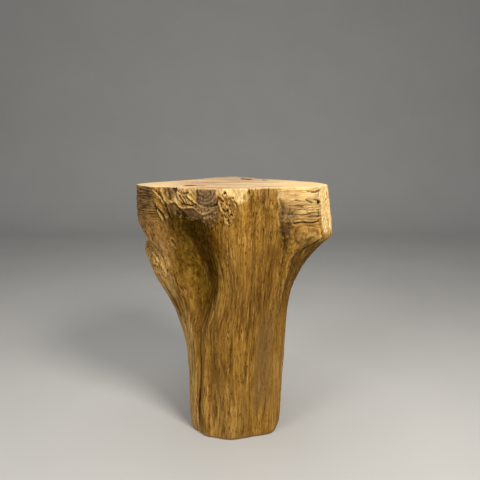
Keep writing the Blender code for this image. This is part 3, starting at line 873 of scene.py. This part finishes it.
def hollowTones(turn, height, masks):
    # olive: the hollow's floor, an olive stain that darkens with the hollow's depth as painted shade; core:
    # its darkest part, dark stain with painted shade; mossy: its streaks; amber: warm wood right of it
    fx, fy = masks["fx"], masks["fy"]
    torn = latticeNoise(fx * 130.0, fy * 130.0, height * 75.0, 137)
    torn = torn + 0.6 * latticeNoise(fx * 320.0, fy * 320.0, height * 190.0, 139)
    olive = ease(0.004, 0.030, masks["hollow"] + 0.011 * torn) * ease(0.012, 0.055, masks["below"])
    olive = olive * (1.0 - 0.55 * ease(0.0, 0.2, 0.52 - height))
    olive = np.clip(olive + 0.45 * spot(turn, height, 35.5, 0.640, 5.0, 0.050), 0.0, 1.0)
    olive = np.maximum(olive, strongest(turn, height, tints["olive"]))
    core = np.clip(hills(turn, height, tints["coreHills"]), 0.0, 1.0)
    mossy = np.clip(hills(turn, height, tints["mossHills"]), 0.0, 1.0)
    amber = 0.8 * spot(turn, height, -11.0, 0.665, 8.0, 0.060) * (1.0 - masks["inBurl"])
    return olive, core, mossy, amber


def paleTones(turn, height, masks, rimLight, streaky):
    # pale: cream wood at the rim, over the burl, over and on the right stub's face and on the broken wood,
    # with the painted highlight along the rim (rimLight); endFace: the smooth cream wood with flecks
    wander, inRing = masks["wander"], masks["inRing"]
    atLeft = ease(0.0, 1.0, -10.5 - turn) * (1.0 - ease(0.0, 5.0, -95.0 - turn))
    rim = 0.9 * ease(0.768, 0.797, height + 0.006 * wander) * (1.0 - atLeft) * (1.0 - 0.85 * streaky)
    wedge = window(turn + 1.6 * wander, -11.5, 7.5, 1.6) * (1.0 - inRing)
    wedge = wedge * ease(-0.004, 0.004, height - along(tints["wedge"], turn))
    cream = ease(-0.008, 0.006, height - along(tints["cream"], turn) + 0.004 * wander)
    endFace = window(turn, 55.0, 84.0, 1.5) * ease(0.655, 0.675, height + 0.004 * wander)
    onBroken = window(turn, -38.0, -26.0, 1.5) * ease(0.748, 0.774, height + 0.005 * wander) * (1.0 - inRing)
    pale = np.max([
        rim, rimLight, 0.95 * wedge, 1.05 * endFace, 0.86 * onBroken,
        0.92 * window(turn + 1.2 * wander, 30.0, 57.0, 1.6) * cream,
        0.62 * masks["stubFace"] * ease(0.69, 0.74, height + 0.01 * wander),
        strongest(turn, height, tints["pale"]),
    ], axis=0)
    endFace = np.maximum(endFace, 0.75 * wedge * (1.0 - masks["inBurl"]))
    return pale, endFace * (height < 0.7995)


def warmTones(turn, height, masks):
    # golden: a painted highlight along the ledge's lip and on the torn ridges, fresh wood on what is broken
    # and low at the left; pink: the left root's knob, mottled wood left of the right stub's grooves, a patch
    # in the cups
    below, wander, fx, fy = (masks[name] for name in ("below", "wander", "fx", "fy"))
    # lip: a painted highlight along the ledge's broken edge
    lip = masks["underLedge"] * (1.0 - ease(*ledge["lipEnd"], turn))
    lip = lip * np.exp(-((below + 0.0016) / 0.0022) ** 2)
    chunk = ease(-38.5, -36.0, turn) * ease(0.745, 0.775, height)
    freshAndLipHighlight = np.clip(1.2 * lip + masks["broken"] * (0.12 + 0.80 * chunk), 0.0, 1.0) * (1.0 - masks["inRing"])
    knuckle = 0.85 * window(turn, -90.0, -48.5, 3.0) * window(height, 0.46, 0.635, 0.02)
    golden = np.max([
        freshAndLipHighlight, knuckle * (0.8 + 0.3 * wander),
        masks["light"] * ease(-0.9, 0.1, wander + 0.3),
        *(hills(turn, height, (row,)) for row in tints["goldenHills"]),
        strongest(turn, height, tints["golden"]),
    ], axis=0)
    golden = golden * (1.0 - 0.75 * window(turn, -44.5, -39.0, 0.8) * ease(0.768, 0.780, height))
    mottled = ease(-0.35, 0.45, wander + 0.8 * latticeNoise(fx * 90.0, fy * 90.0, height * 90.0, 131))
    knob = ease(0.57, 0.64, height) * window(turn, -110.0, -44.0, 4.0) * (1.0 - ease(0.70, 0.73, height))
    pink = np.max([
        0.85 * knob,
        0.90 * mottled * window(turn, 31.5, 40.0, 1.2) * window(height, 0.690, 0.762, 0.008),
        0.60 * window(turn, -43.0, -39.6, 0.6) * window(height, 0.715, 0.750, 0.004),
    ], axis=0)
    return golden, pink


def darkTones(turn, height, masks, rimLight):
    # grey: the cups, the ring end and what lies under it, two dark patches; deepen: places darker all over,
    # as painted shade under the right stub, in its furrow and at the hollow's left, and as a darker column
    # middle
    wander = masks["wander"]
    darkPatch = 0.60 * window(turn, -44.0, -38.5, 0.8) * ease(0.760, 0.772, height)
    bruise = 0.75 * spot(turn, height, 37.0, 0.690, 3.4, 0.040) * ease(-0.5, 0.3, wander)
    cups = (0.80 - 0.40 * ease(-0.1, 0.6, wander)) * masks["cups"]
    grey = np.clip(cups + masks["inRing"] + 0.9 * masks["underRing"] + darkPatch + bruise, 0.0, 1.0)
    grey = grey * (1.0 - rimLight) * (1.0 - 0.85 * masks["light"] * window(height, 0.698, 0.752, 0.003))
    deepenAndShade = spot(turn, height, 8.0, 0.47, 20.0, 0.11)
    # painted shade under the right stub, then at the hollow's left, then in the furrow
    deepenAndShade = deepenAndShade + 0.9 * window(turn, 52.0, 105.0, 6.0) * window(height, 0.42, 0.640, 0.025)
    deepenAndShade = deepenAndShade + 0.6 * window(turn, -47.0, -36.0, 3.0) * window(height, 0.52, 0.70, 0.03)
    furrow = (0.85 + 0.35 * wander) * spot(turn, height, 35.4, 0.652, 4.8, 0.052)
    deepenAndShade = np.max([deepenAndShade, furrow, strongest(turn, height, tints["deepenAndShade"])], axis=0)
    return grey, np.clip(deepenAndShade, 0.0, 1.0)


def sideFields(turn, height, radius, masks):
    # fields of the side: those that the foot and the top are free of, and those that run on over them
    wander, inRing = masks["wander"], masks["inRing"]
    streaky = window(turn + 1.6 * wander, 8.5, 30.5, 1.8)
    thin = np.maximum(streaky, inRing)
    # rimLight: a painted highlight in a band just under the rim
    rimLight = ease(0.7905 + 0.0045 * thin, 0.7965 + 0.0020 * thin, height + 0.0012 * wander)
    rimLight = rimLight * window(turn, -34.0, 200.0, 1.5)
    olive, core, mossy, amber = hollowTones(turn, height, masks)
    pale, endFace = paleTones(turn, height, masks, rimLight, streaky)
    golden, pink = warmTones(turn, height, masks)
    grey, deepenAndShade = darkTones(turn, height, masks, rimLight)
    dusty = window(turn, 21.0, 38.0, 3.0) * window(height, 0.10, 0.40, 0.05)  # greyish and smooth
    grooved = masks["stubFace"] * ease(36.0, 41.0, turn)
    grooved = grooved * window(height + 0.003 * wander, 0.700, 0.756, 0.006)
    browned = masks["leftEnd"] * (0.40 + 0.60 * ease(0.712, 0.752, height + 0.006 * wander))
    # the ring end: distance from the rings' middle, and how well the rings show
    ringTurn, ringHeight = ringEnd["centre"]
    ringAcross = np.radians(turnBetween(turn, ringTurn)) * ringEnd["reach"]
    ringGap = np.hypot(ringAcross, (height - ringHeight) * 0.92)
    low = (ringHeight - height) / np.maximum(ringGap, 0.001)
    ringFace = inRing * ease(0.0, 0.003, -masks["below"]) * (0.30 + 0.70 * ease(-0.3, 0.5, low))
    ringFace = ringFace * (1.0 - rimLight)
    free = dict(
        reliefFields(turn, height, radius, masks), split=masks["split"] * ease(0.8, 0.7985, height),
        crumbly=masks["crumbly"], olive=olive, ringFace=ringFace, burled=masks["inBurl"],
        level=np.clip(masks["stubFace"] + masks["leftEnd"], 0.0, 1.0), slanted=masks["broken"],
    )
    running = dict(
        grey=grey, pale=pale, golden=golden, core=core, dusty=dusty, endFace=endFace, grooved=grooved,
        soft=np.maximum(0.5 * dusty, strongest(turn, height, tints["soft"])), deepenAndShade=deepenAndShade, amber=amber,
        mossy=mossy, pink=pink, ringGap=ringGap, leftEnd=browned,
    )
    return free, running


def makeStump():
    turn, height = np.meshgrid(columnTurns(), rowHeights())
    radius, masks = sideSurface(turn, height)
    allX, allY, allZ, rows = blockGrid(turn, height, radius)
    axisX, axisY = stump["axis"]
    mesh = closedMesh("stump", allX, allY, allZ, (axisX, axisY, 0.0), (axisX, axisY, stump["height"]))
    origin = (0.0, 0.0, 0.0)
    fibre = (masks["fx"], masks["fy"], height)
    slant = (masks["slantAcross"], masks["slantAlong"], 0.0 * height)
    addVectors(mesh, "fibre", *(wholeField(v, rows) for v in fibre), origin, (0.0, 0.0, stump["height"]))
    addVectors(mesh, "slant", *(wholeField(v, rows) for v in slant), origin, origin)
    free, running = sideFields(turn, height, radius, masks)
    for name, values in free.items():
        addField(mesh, name, wholeField(values, rows, 0.0, 0.0))
    for name, values in running.items():
        addField(mesh, name, wholeField(values, rows))
    addField(mesh, "sawnTop", wholeField((height > 0.7992).astype(float), rows, 0.0, 1.0), 0.0, 1.0)
    addField(mesh, "sawnFoot", wholeField((height < 1e-6).astype(float), rows, 1.0, 0.0), 1.0, 0.0)
    # topRing: distance from the middle, round there and like the outline at the rim;
    # topSlitShade: how steeply the top falls from ring to ring, for painted shade in the top's slits
    topRows = slice(rows["foot"] + rows["side"] - 1, None)
    share = np.concatenate(([[1.0]], rows["topShares"])) * np.ones((1, turn.shape[1]))
    outer = np.hypot(allX - axisX, allY - axisY)[topRows]
    fall = np.abs(np.gradient(allZ[topRows], axis=0) / np.gradient(share, axis=0))
    topRing, topSlitShade = np.zeros_like(allX), np.zeros_like(allX)
    topRing[topRows] = outer * (1.0 - share ** 2) + 0.22 * share ** 3
    topSlitShade[topRows] = np.clip(fall / 0.12, 0.0, 1.0)
    addField(mesh, "topRing", topRing)
    addField(mesh, "topSlitShade", topSlitShade)
    piece = bpy.data.objects.new("stump", mesh)
    bpy.context.scene.collection.objects.link(piece)
    triangles = sum(len(face.vertices) - 2 for face in mesh.polygons)
    print("stump:", len(mesh.vertices), "points,", triangles, "triangles")
    return piece


# material

wood = dict(
    roughness=0.66, specular=0.12,
    # plain wood from its darkest to its brightest fibres, and how its broad bands change it
    fibres=((0.30, (0.026, 0.009, 0.0005)), (0.40, (0.115, 0.048, 0.004)), (0.50, (0.255, 0.122, 0.014)),
            (0.60, (0.420, 0.230, 0.044)), (0.72, (0.620, 0.395, 0.125))),
    bands=((0.30, (0.45, 0.38, 0.28)), (0.50, (0.94, 0.92, 0.88)), (0.70, (1.25, 1.22, 1.15))),
    # tones laid over it, in this order: field, share, the grain they follow, its stops
    tones=(
        ("pale", 0.88, "grain", ((0.36, (0.50, 0.28, 0.080)), (0.58, (0.860, 0.610, 0.270)))),
        ("golden", 0.85, "grain", ((0.40, (0.15, 0.070, 0.015)), (0.58, (0.660, 0.400, 0.120)))),
        ("pink", 0.70, "grain", ((0.38, (0.105, 0.047, 0.014)), (0.62, (0.290, 0.150, 0.055)))),
        ("leftEnd", 0.88, "level",
         ((0.36, (0.022, 0.009, 0.002)), (0.50, (0.120, 0.064, 0.020)), (0.64, (0.30, 0.175, 0.070)))),
        ("olive", 0.88, "grain", ((0.42, (0.042, 0.020, 0.001)), (0.64, (0.148, 0.084, 0.007)))),
        ("amber", 1.0, "grain", ((0.40, (0.105, 0.040, 0.002)), (0.62, (0.30, 0.135, 0.010)))),
        ("mossy", 0.70, "grain", ((0.40, (0.070, 0.034, 0.002)), (0.60, (0.215, 0.122, 0.011)))),
        ("core", 0.85, "grain", ((0.42, (0.014, 0.005, 0.0003)), (0.62, (0.120, 0.046, 0.002)))),
        ("grey", 0.85, "crumb", ((0.36, (0.080, 0.046, 0.021)), (0.62, (0.250, 0.158, 0.080)))),
    ),
    burl=((0.38, (0.070, 0.028, 0.004)), (0.50, (0.30, 0.145, 0.026)), (0.62, (0.72, 0.46, 0.15))),
    endFace=((0.40, (0.52, 0.31, 0.105)), (0.60, (0.93, 0.70, 0.33))),
    top=((0.30, (0.250, 0.140, 0.070)), (0.44, (0.480, 0.300, 0.180)), (0.56, (0.560, 0.385, 0.220)),
         (0.74, (0.78, 0.57, 0.29))),
    # the top turns cream towards its ends: x where that starts, x where it is done, colour
    topEnds=((-0.13, -0.20, (0.70, 0.52, 0.26)), (0.10, 0.17, (0.74, 0.52, 0.25))),
    ringInk=(0.040, 0.022, 0.008), grooved=(0.115, 0.045, 0.012), dusty=(0.185, 0.112, 0.044),
    # painted shade: deepen (also a darker tone), cave, underneath, dip, split, slit; painted highlight: rise
    deepenAndShade=(0.66, 0.62, 0.56), caveShade=(0.045, 0.018, 0.002), underShade=(0.040, 0.018, 0.003),
    rise=(0.66, 0.42, 0.13), dipShade=(0.022, 0.008, 0.001), split=(0.018, 0.008, 0.002),
    slit=(0.040, 0.018, 0.006), foot=(0.34, 0.20, 0.09),
)


def colour(rgb):
    return (rgb[0], rgb[1], rgb[2], 1.0)


class NodeMaker:
    # short ways to add and join the nodes of one material
    def __init__(self, material):
        self.tree = material.node_tree
        self.nodes = self.tree.nodes

    def feed(self, socket, value):
        if isinstance(value, bpy.types.NodeSocket):
            self.tree.links.new(value, socket)
        else:
            socket.default_value = value

    def attribute(self, name, vector=False):
        node = self.nodes.new("ShaderNodeAttribute")
        node.attribute_name = name
        return node.outputs["Vector" if vector else "Fac"]

    def stretch(self, vector, scale, place=(0, 0, 0), turn=(0, 0, 0)):
        node = self.nodes.new("ShaderNodeMapping")
        self.feed(node.inputs["Vector"], vector)
        node.inputs["Scale"].default_value = scale
        node.inputs["Location"].default_value = place
        node.inputs["Rotation"].default_value = turn
        return node.outputs["Vector"]

    def noise(self, vector, scale=1.0, detail=3.0, roughness=0.55, distortion=0.0):
        node = self.nodes.new("ShaderNodeTexNoise")
        self.feed(node.inputs["Vector"], vector)
        node.inputs["Scale"].default_value = scale
        node.inputs["Detail"].default_value = detail
        node.inputs["Roughness"].default_value = roughness
        node.inputs["Distortion"].default_value = distortion
        return node.outputs["Fac"]

    def maths(self, kind, a, b=0.0, c=0.0, clamp=False):
        node = self.nodes.new("ShaderNodeMath")
        node.operation = kind
        node.use_clamp = clamp
        for socket, value in zip(node.inputs, (a, b, c)):
            self.feed(socket, value)
        return node.outputs[0]

    def span(self, value, low, high, toLow=0.0, toHigh=1.0):
        node = self.nodes.new("ShaderNodeMapRange")
        self.feed(node.inputs["Value"], value)
        for name, number in (("From Min", low), ("From Max", high), ("To Min", toLow), ("To Max", toHigh)):
            node.inputs[name].default_value = number
        return node.outputs["Result"]

    def ramp(self, value, stops):
        node = self.nodes.new("ShaderNodeValToRGB")
        self.feed(node.inputs["Fac"], value)
        marks = node.color_ramp.elements
        while len(marks) < len(stops):
            marks.new(0.5)
        for mark, (place, rgb) in zip(marks, stops):
            mark.position = place
            mark.color = colour(rgb)
        return node.outputs["Color"]

    def product(self, value, other):
        return self.maths("MULTIPLY", value, other)

    def weighed(self, *parts):
        # sum of values, each times its weight
        total = self.product(*parts[0])
        for value, weight in parts[1:]:
            total = self.maths("ADD", total, self.product(value, weight))
        return total

    def mix(self, share, first, second, blend="MIX"):
        node = self.nodes.new("ShaderNodeMix")
        node.data_type = "RGBA"
        node.blend_type = blend
        self.feed(node.inputs[0], share)
        self.feed(node.inputs[6], colour(first) if isinstance(first, tuple) else first)
        self.feed(node.inputs[7], colour(second) if isinstance(second, tuple) else second)
        return node.outputs[2]

    def shade(self, value, stops):
        # a mix of two colours, or a ramp through more of them
        if len(stops) > 2:
            return self.ramp(value, stops)
        (low, first), (high, second) = stops
        return self.mix(self.span(value, low, high), first, second)

    def over(self, base, field, share, second, blend="MIX"):
        # a colour laid over base by a share of a field
        return self.mix(self.product(self.attribute(field), share), base, second, blend)


def sideColour(make, place, fibre, grains, ringWave):
    # the plain wood, the tones over it, then rings, flecks, threads, dust, painted shade in hollows and
    # under overhangs, and the relief's painted highlight on ridges and painted shade in grooves and splits
    grain, band, broad, thread = (grains[name] for name in ("grain", "band", "broad", "thread"))
    tone = make.weighed((grain, 0.62), (band, 0.38))
    # soft: the tone drawn towards its middle
    tone = make.maths("ADD", tone, make.product(make.maths("SUBTRACT", 0.505, tone), make.attribute("soft")))
    base = make.ramp(tone, wood["fibres"])
    base = make.mix(0.45, base, make.ramp(broad, wood["bands"]), "MULTIPLY")
    for field, share, follows, stops in wood["tones"]:
        base = make.over(base, field, share, make.shade(grains[follows], stops))
    ringShown = make.span(make.attribute("ringGap"), 0.006, 0.016)
    ringShare = make.product(make.span(ringWave, 0.0, 1.0, 0.0, 0.80), ringShown)
    base = make.over(base, "ringFace", ringShare, wood["ringInk"])
    base = make.over(base, "burled", 0.75, make.ramp(grains["slanted"], wood["burl"]))

    dark, straw = wood["fibres"][0][1], wood["fibres"][-1][1]
    notLevel = make.maths("SUBTRACT", 1.0, make.attribute("level"))
    fleck = make.noise(make.stretch(fibre, (290, 290, 52), place=(3, 1, 2)), detail=2)
    base = make.mix(make.product(make.span(fleck, 0.42, 0.32, 0.0, 0.75), notLevel), base, dark)
    grooves = make.noise(make.stretch(place, (15, 15, 215), place=(1, 2, 4)), detail=3, roughness=0.6)
    base = make.over(base, "grooved", make.span(grooves, 0.48, 0.41, 0.0, 0.88), wood["grooved"])
    base = make.over(base, "endFace", 0.65, make.shade(grains["flaky"], wood["endFace"]))
    notHollow = make.span(make.attribute("olive"), 0.0, 0.6, 1.0, 0.35)
    threadShare = make.product(make.span(thread, 0.57, 0.72, 0.0, 0.42), notLevel)
    base = make.mix(make.product(threadShare, notHollow), base, straw)
    base = make.over(base, "dusty", 0.40, wood["dusty"])
    # painted shade: darker places, hollows and undersides; then a painted highlight on ridges and painted
    # shade in grooves and splits
    base = make.over(base, "deepenAndShade", 1.0, wood["deepenAndShade"], "MULTIPLY")
    base = make.over(base, "caveShade", 0.50, wood["caveShade"])
    base = make.over(base, "underShade", 0.50, wood["underShade"])
    base = make.mix(make.span(make.attribute("rise"), 0.25, 1.0, 0.0, 0.34), base, wood["rise"])
    base = make.mix(make.span(make.attribute("dipShade"), 0.10, 1.00, 0.0, 0.82), base, wood["dipShade"])
    return make.over(base, "split", 0.93, wood["split"])


def topColour(make, place):
    # the sawn top: rings that follow the outline, fine saw lines and broad patches, painted shade in its
    # slits, cream towards both ends
    uneven = make.product(make.noise(place, scale=14, detail=3), 0.030)
    ringPlace = make.maths("ADD", make.attribute("topRing"), uneven)
    coarse, fine = (make.maths("SINE", make.product(ringPlace, rate)) for rate in (420.0, 1500.0))
    patches = make.noise(place, scale=9, detail=4, roughness=0.62)
    sawn = make.noise(make.stretch(place, (3.5, 42, 1)), detail=4, roughness=0.62)
    tone = make.weighed((coarse, 0.035), (fine, 0.03), (patches, 0.35))
    tone = make.maths("ADD", tone, make.span(sawn, 0.0, 1.0, -0.10, 1.40))
    top = make.ramp(make.maths("SUBTRACT", tone, 0.33), wood["top"])
    # painted shade where the top falls steeply into its slits
    top = make.mix(make.span(make.attribute("topSlitShade"), 0.15, 0.7, 0.0, 0.92), top, wood["slit"])
    sideways = make.nodes.new("ShaderNodeSeparateXYZ")
    make.feed(sideways.inputs[0], place)
    for start, done, cream in wood["topEnds"]:
        top = make.mix(make.span(sideways.outputs["X"], start, done, 0.0, 0.75), top, cream)
    return top


def weatheredWood():
    material = bpy.data.materials.new("weatheredWood")
    material.use_nodes = True
    make = NodeMaker(material)
    shader = make.nodes["Principled BSDF"]
    fibre = make.attribute("fibre", vector=True)
    slant = make.attribute("slant", vector=True)
    place = make.nodes.new("ShaderNodeTexCoord").outputs["Object"]

    # noises stretched along the fibres, the level splits or the torn grain: scales, detail, roughness
    grains = dict(
        broad=(fibre, (17, 17, 2.2), 3, 0.55), band=(fibre, (60, 60, 3.2), 3, 0.6),
        streak=(fibre, (165, 165, 15), 4, 0.66), thread=(fibre, (350, 350, 32), 3, 0.6),
        flaky=(fibre, (210, 210, 75), 4, 0.62), level=(place, (26, 26, 300), 4, 0.62),
        slanted=(slant, (260, 62, 1), 4, 0.64),
    )
    for name, (vector, scale, detail, roughness) in grains.items():
        grains[name] = make.noise(make.stretch(vector, scale), detail=detail, roughness=roughness)
    crumb = grains["crumb"] = make.noise(place, scale=170, detail=3)
    grain = make.mix(make.product(make.attribute("crumbly"), 0.85), grains["streak"], grains["flaky"])
    grain = make.mix(make.attribute("level"), grain, grains["level"])
    grain = grains["grain"] = make.mix(make.attribute("slanted"), grain, grains["slanted"])
    uneven = make.product(make.noise(place, scale=62, detail=3), 0.0060)
    ringWave = make.maths("SINE", make.product(make.maths("ADD", make.attribute("ringGap"), uneven), 620.0))

    base = sideColour(make, place, fibre, grains, ringWave)
    base = make.mix(make.attribute("sawnTop"), base, topColour(make, place))
    base = make.mix(make.attribute("sawnFoot"), base, wood["foot"])
    make.feed(shader.inputs["Base Color"], base)
    shine = make.span(make.attribute("olive"), 0.0, 0.8, wood["specular"], 0.02)
    make.feed(shader.inputs["Specular IOR Level"], shine)
    dull = make.span(grain, 0.3, 0.7, wood["roughness"] + 0.12, wood["roughness"] - 0.10)
    make.feed(shader.inputs["Roughness"], dull)
    rings = make.product(ringWave, make.attribute("ringFace"))
    bump = make.nodes.new("ShaderNodeBump")
    bump.inputs["Strength"].default_value = 0.85
    bump.inputs["Distance"].default_value = 0.0035
    relief = make.weighed((grain, 0.60), (grains["thread"], 0.30), (crumb, 0.16), (rings, -0.10))
    make.feed(bump.inputs["Height"], relief)
    make.feed(shader.inputs["Normal"], bump.outputs["Normal"])
    return material


# camera, floor and light

studio = dict(
    eye=(0.0170, -1.5324, 0.914),
    # the photo's horizon lies 95 pixels above its middle, at a focal length of 481 in 480 pixels
    tilt=math.atan(95.0 / 481.0), lens=481.0 / 480.0 * 36.0,
    floor=(0.50, 0.49, 0.47), sky=(0.80, 0.82, 0.85), skyStrength=0.30,
    # place, aim, size, energy, colour
    lights=dict(
        key=((1.05, -1.60, 2.15), (0.0, 0.0, 0.55), 0.80, 66.0, (1.0, 0.965, 0.90)),
        over=((-0.10, 0.15, 2.70), (0.0, 0.0, 0.40), 1.60, 20.0, (1.0, 0.98, 0.95)),
        fill=((-1.80, -1.90, 1.50), (0.0, 0.0, 0.45), 1.20, 30.0, (1.0, 0.98, 0.94)),
    ),
)


def flatColour(name, rgb, roughness):
    # one colour, a little darker here and there
    material = bpy.data.materials.new(name)
    material.use_nodes = True
    make = NodeMaker(material)
    shader = make.nodes["Principled BSDF"]
    place = make.nodes.new("ShaderNodeTexCoord").outputs["Object"]
    cloud = make.noise(place, scale=2.2, detail=4)
    darker = tuple(v * 0.95 for v in rgb)
    make.feed(shader.inputs["Base Color"], make.mix(make.span(cloud, 0.3, 0.7), darker, rgb))
    shader.inputs["Roughness"].default_value = roughness
    return material


def layStudio():
    scene = bpy.context.scene
    camera = bpy.data.objects.new("camera", bpy.data.cameras.new("camera"))
    scene.collection.objects.link(camera)
    camera.data.sensor_width = 36.0
    camera.data.lens = studio["lens"]
    camera.data.clip_start = 0.05
    camera.location = studio["eye"]
    camera.rotation_euler = (math.pi / 2 - studio["tilt"], 0.0, 0.0)
    scene.camera = camera
    # floor and a wall far behind it, one sheet: a flat run, a quarter round, a rise
    across = np.linspace(-9.0, 9.0, 3)
    angle = np.linspace(0.0, math.pi / 2, 13)
    runY = np.concatenate(([-9.0], 3.4 + 1.2 * np.sin(angle), [4.6]))
    runZ = np.concatenate(([0.0], 1.2 - 1.2 * np.cos(angle), [7.0]))
    points = [(float(x), float(y), float(z)) for y, z in zip(runY, runZ) for x in across]
    faces = [(3 * r + c, 3 * r + c + 1, 3 * r + c + 4, 3 * r + c + 3)
             for r in range(len(runY) - 1) for c in range(2)]
    mesh = bpy.data.meshes.new("studioFloor")
    mesh.from_pydata(points, [], faces)
    mesh.shade_smooth()
    floor = bpy.data.objects.new("studioFloor", mesh)
    scene.collection.objects.link(floor)
    mesh.materials.append(flatColour("paleFloor", studio["floor"], 0.75))
    for name, (spotPlace, aim, size, energy, rgb) in studio["lights"].items():
        lamp = bpy.data.objects.new(name, bpy.data.lights.new(name, "AREA"))
        lamp.data.shape = "DISK"
        lamp.data.size = size
        lamp.data.energy = energy
        lamp.data.color = rgb
        lamp.location = spotPlace
        lamp.rotation_mode = "QUATERNION"
        lamp.rotation_quaternion = (Vector(aim) - Vector(spotPlace)).to_track_quat("-Z", "Y")
        scene.collection.objects.link(lamp)
    world = bpy.data.worlds.new("sky")
    world.use_nodes = True
    world.node_tree.nodes["Background"].inputs[0].default_value = colour(studio["sky"])
    world.node_tree.nodes["Background"].inputs[1].default_value = studio["skyStrength"]
    scene.world = world
    scene.view_settings.view_transform = "Standard"
    print("studio laid")


layStudio()
block = makeStump()
block.data.materials.append(weatheredWood())
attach(block, "root")
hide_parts("wood_block")
print("stump dressed")
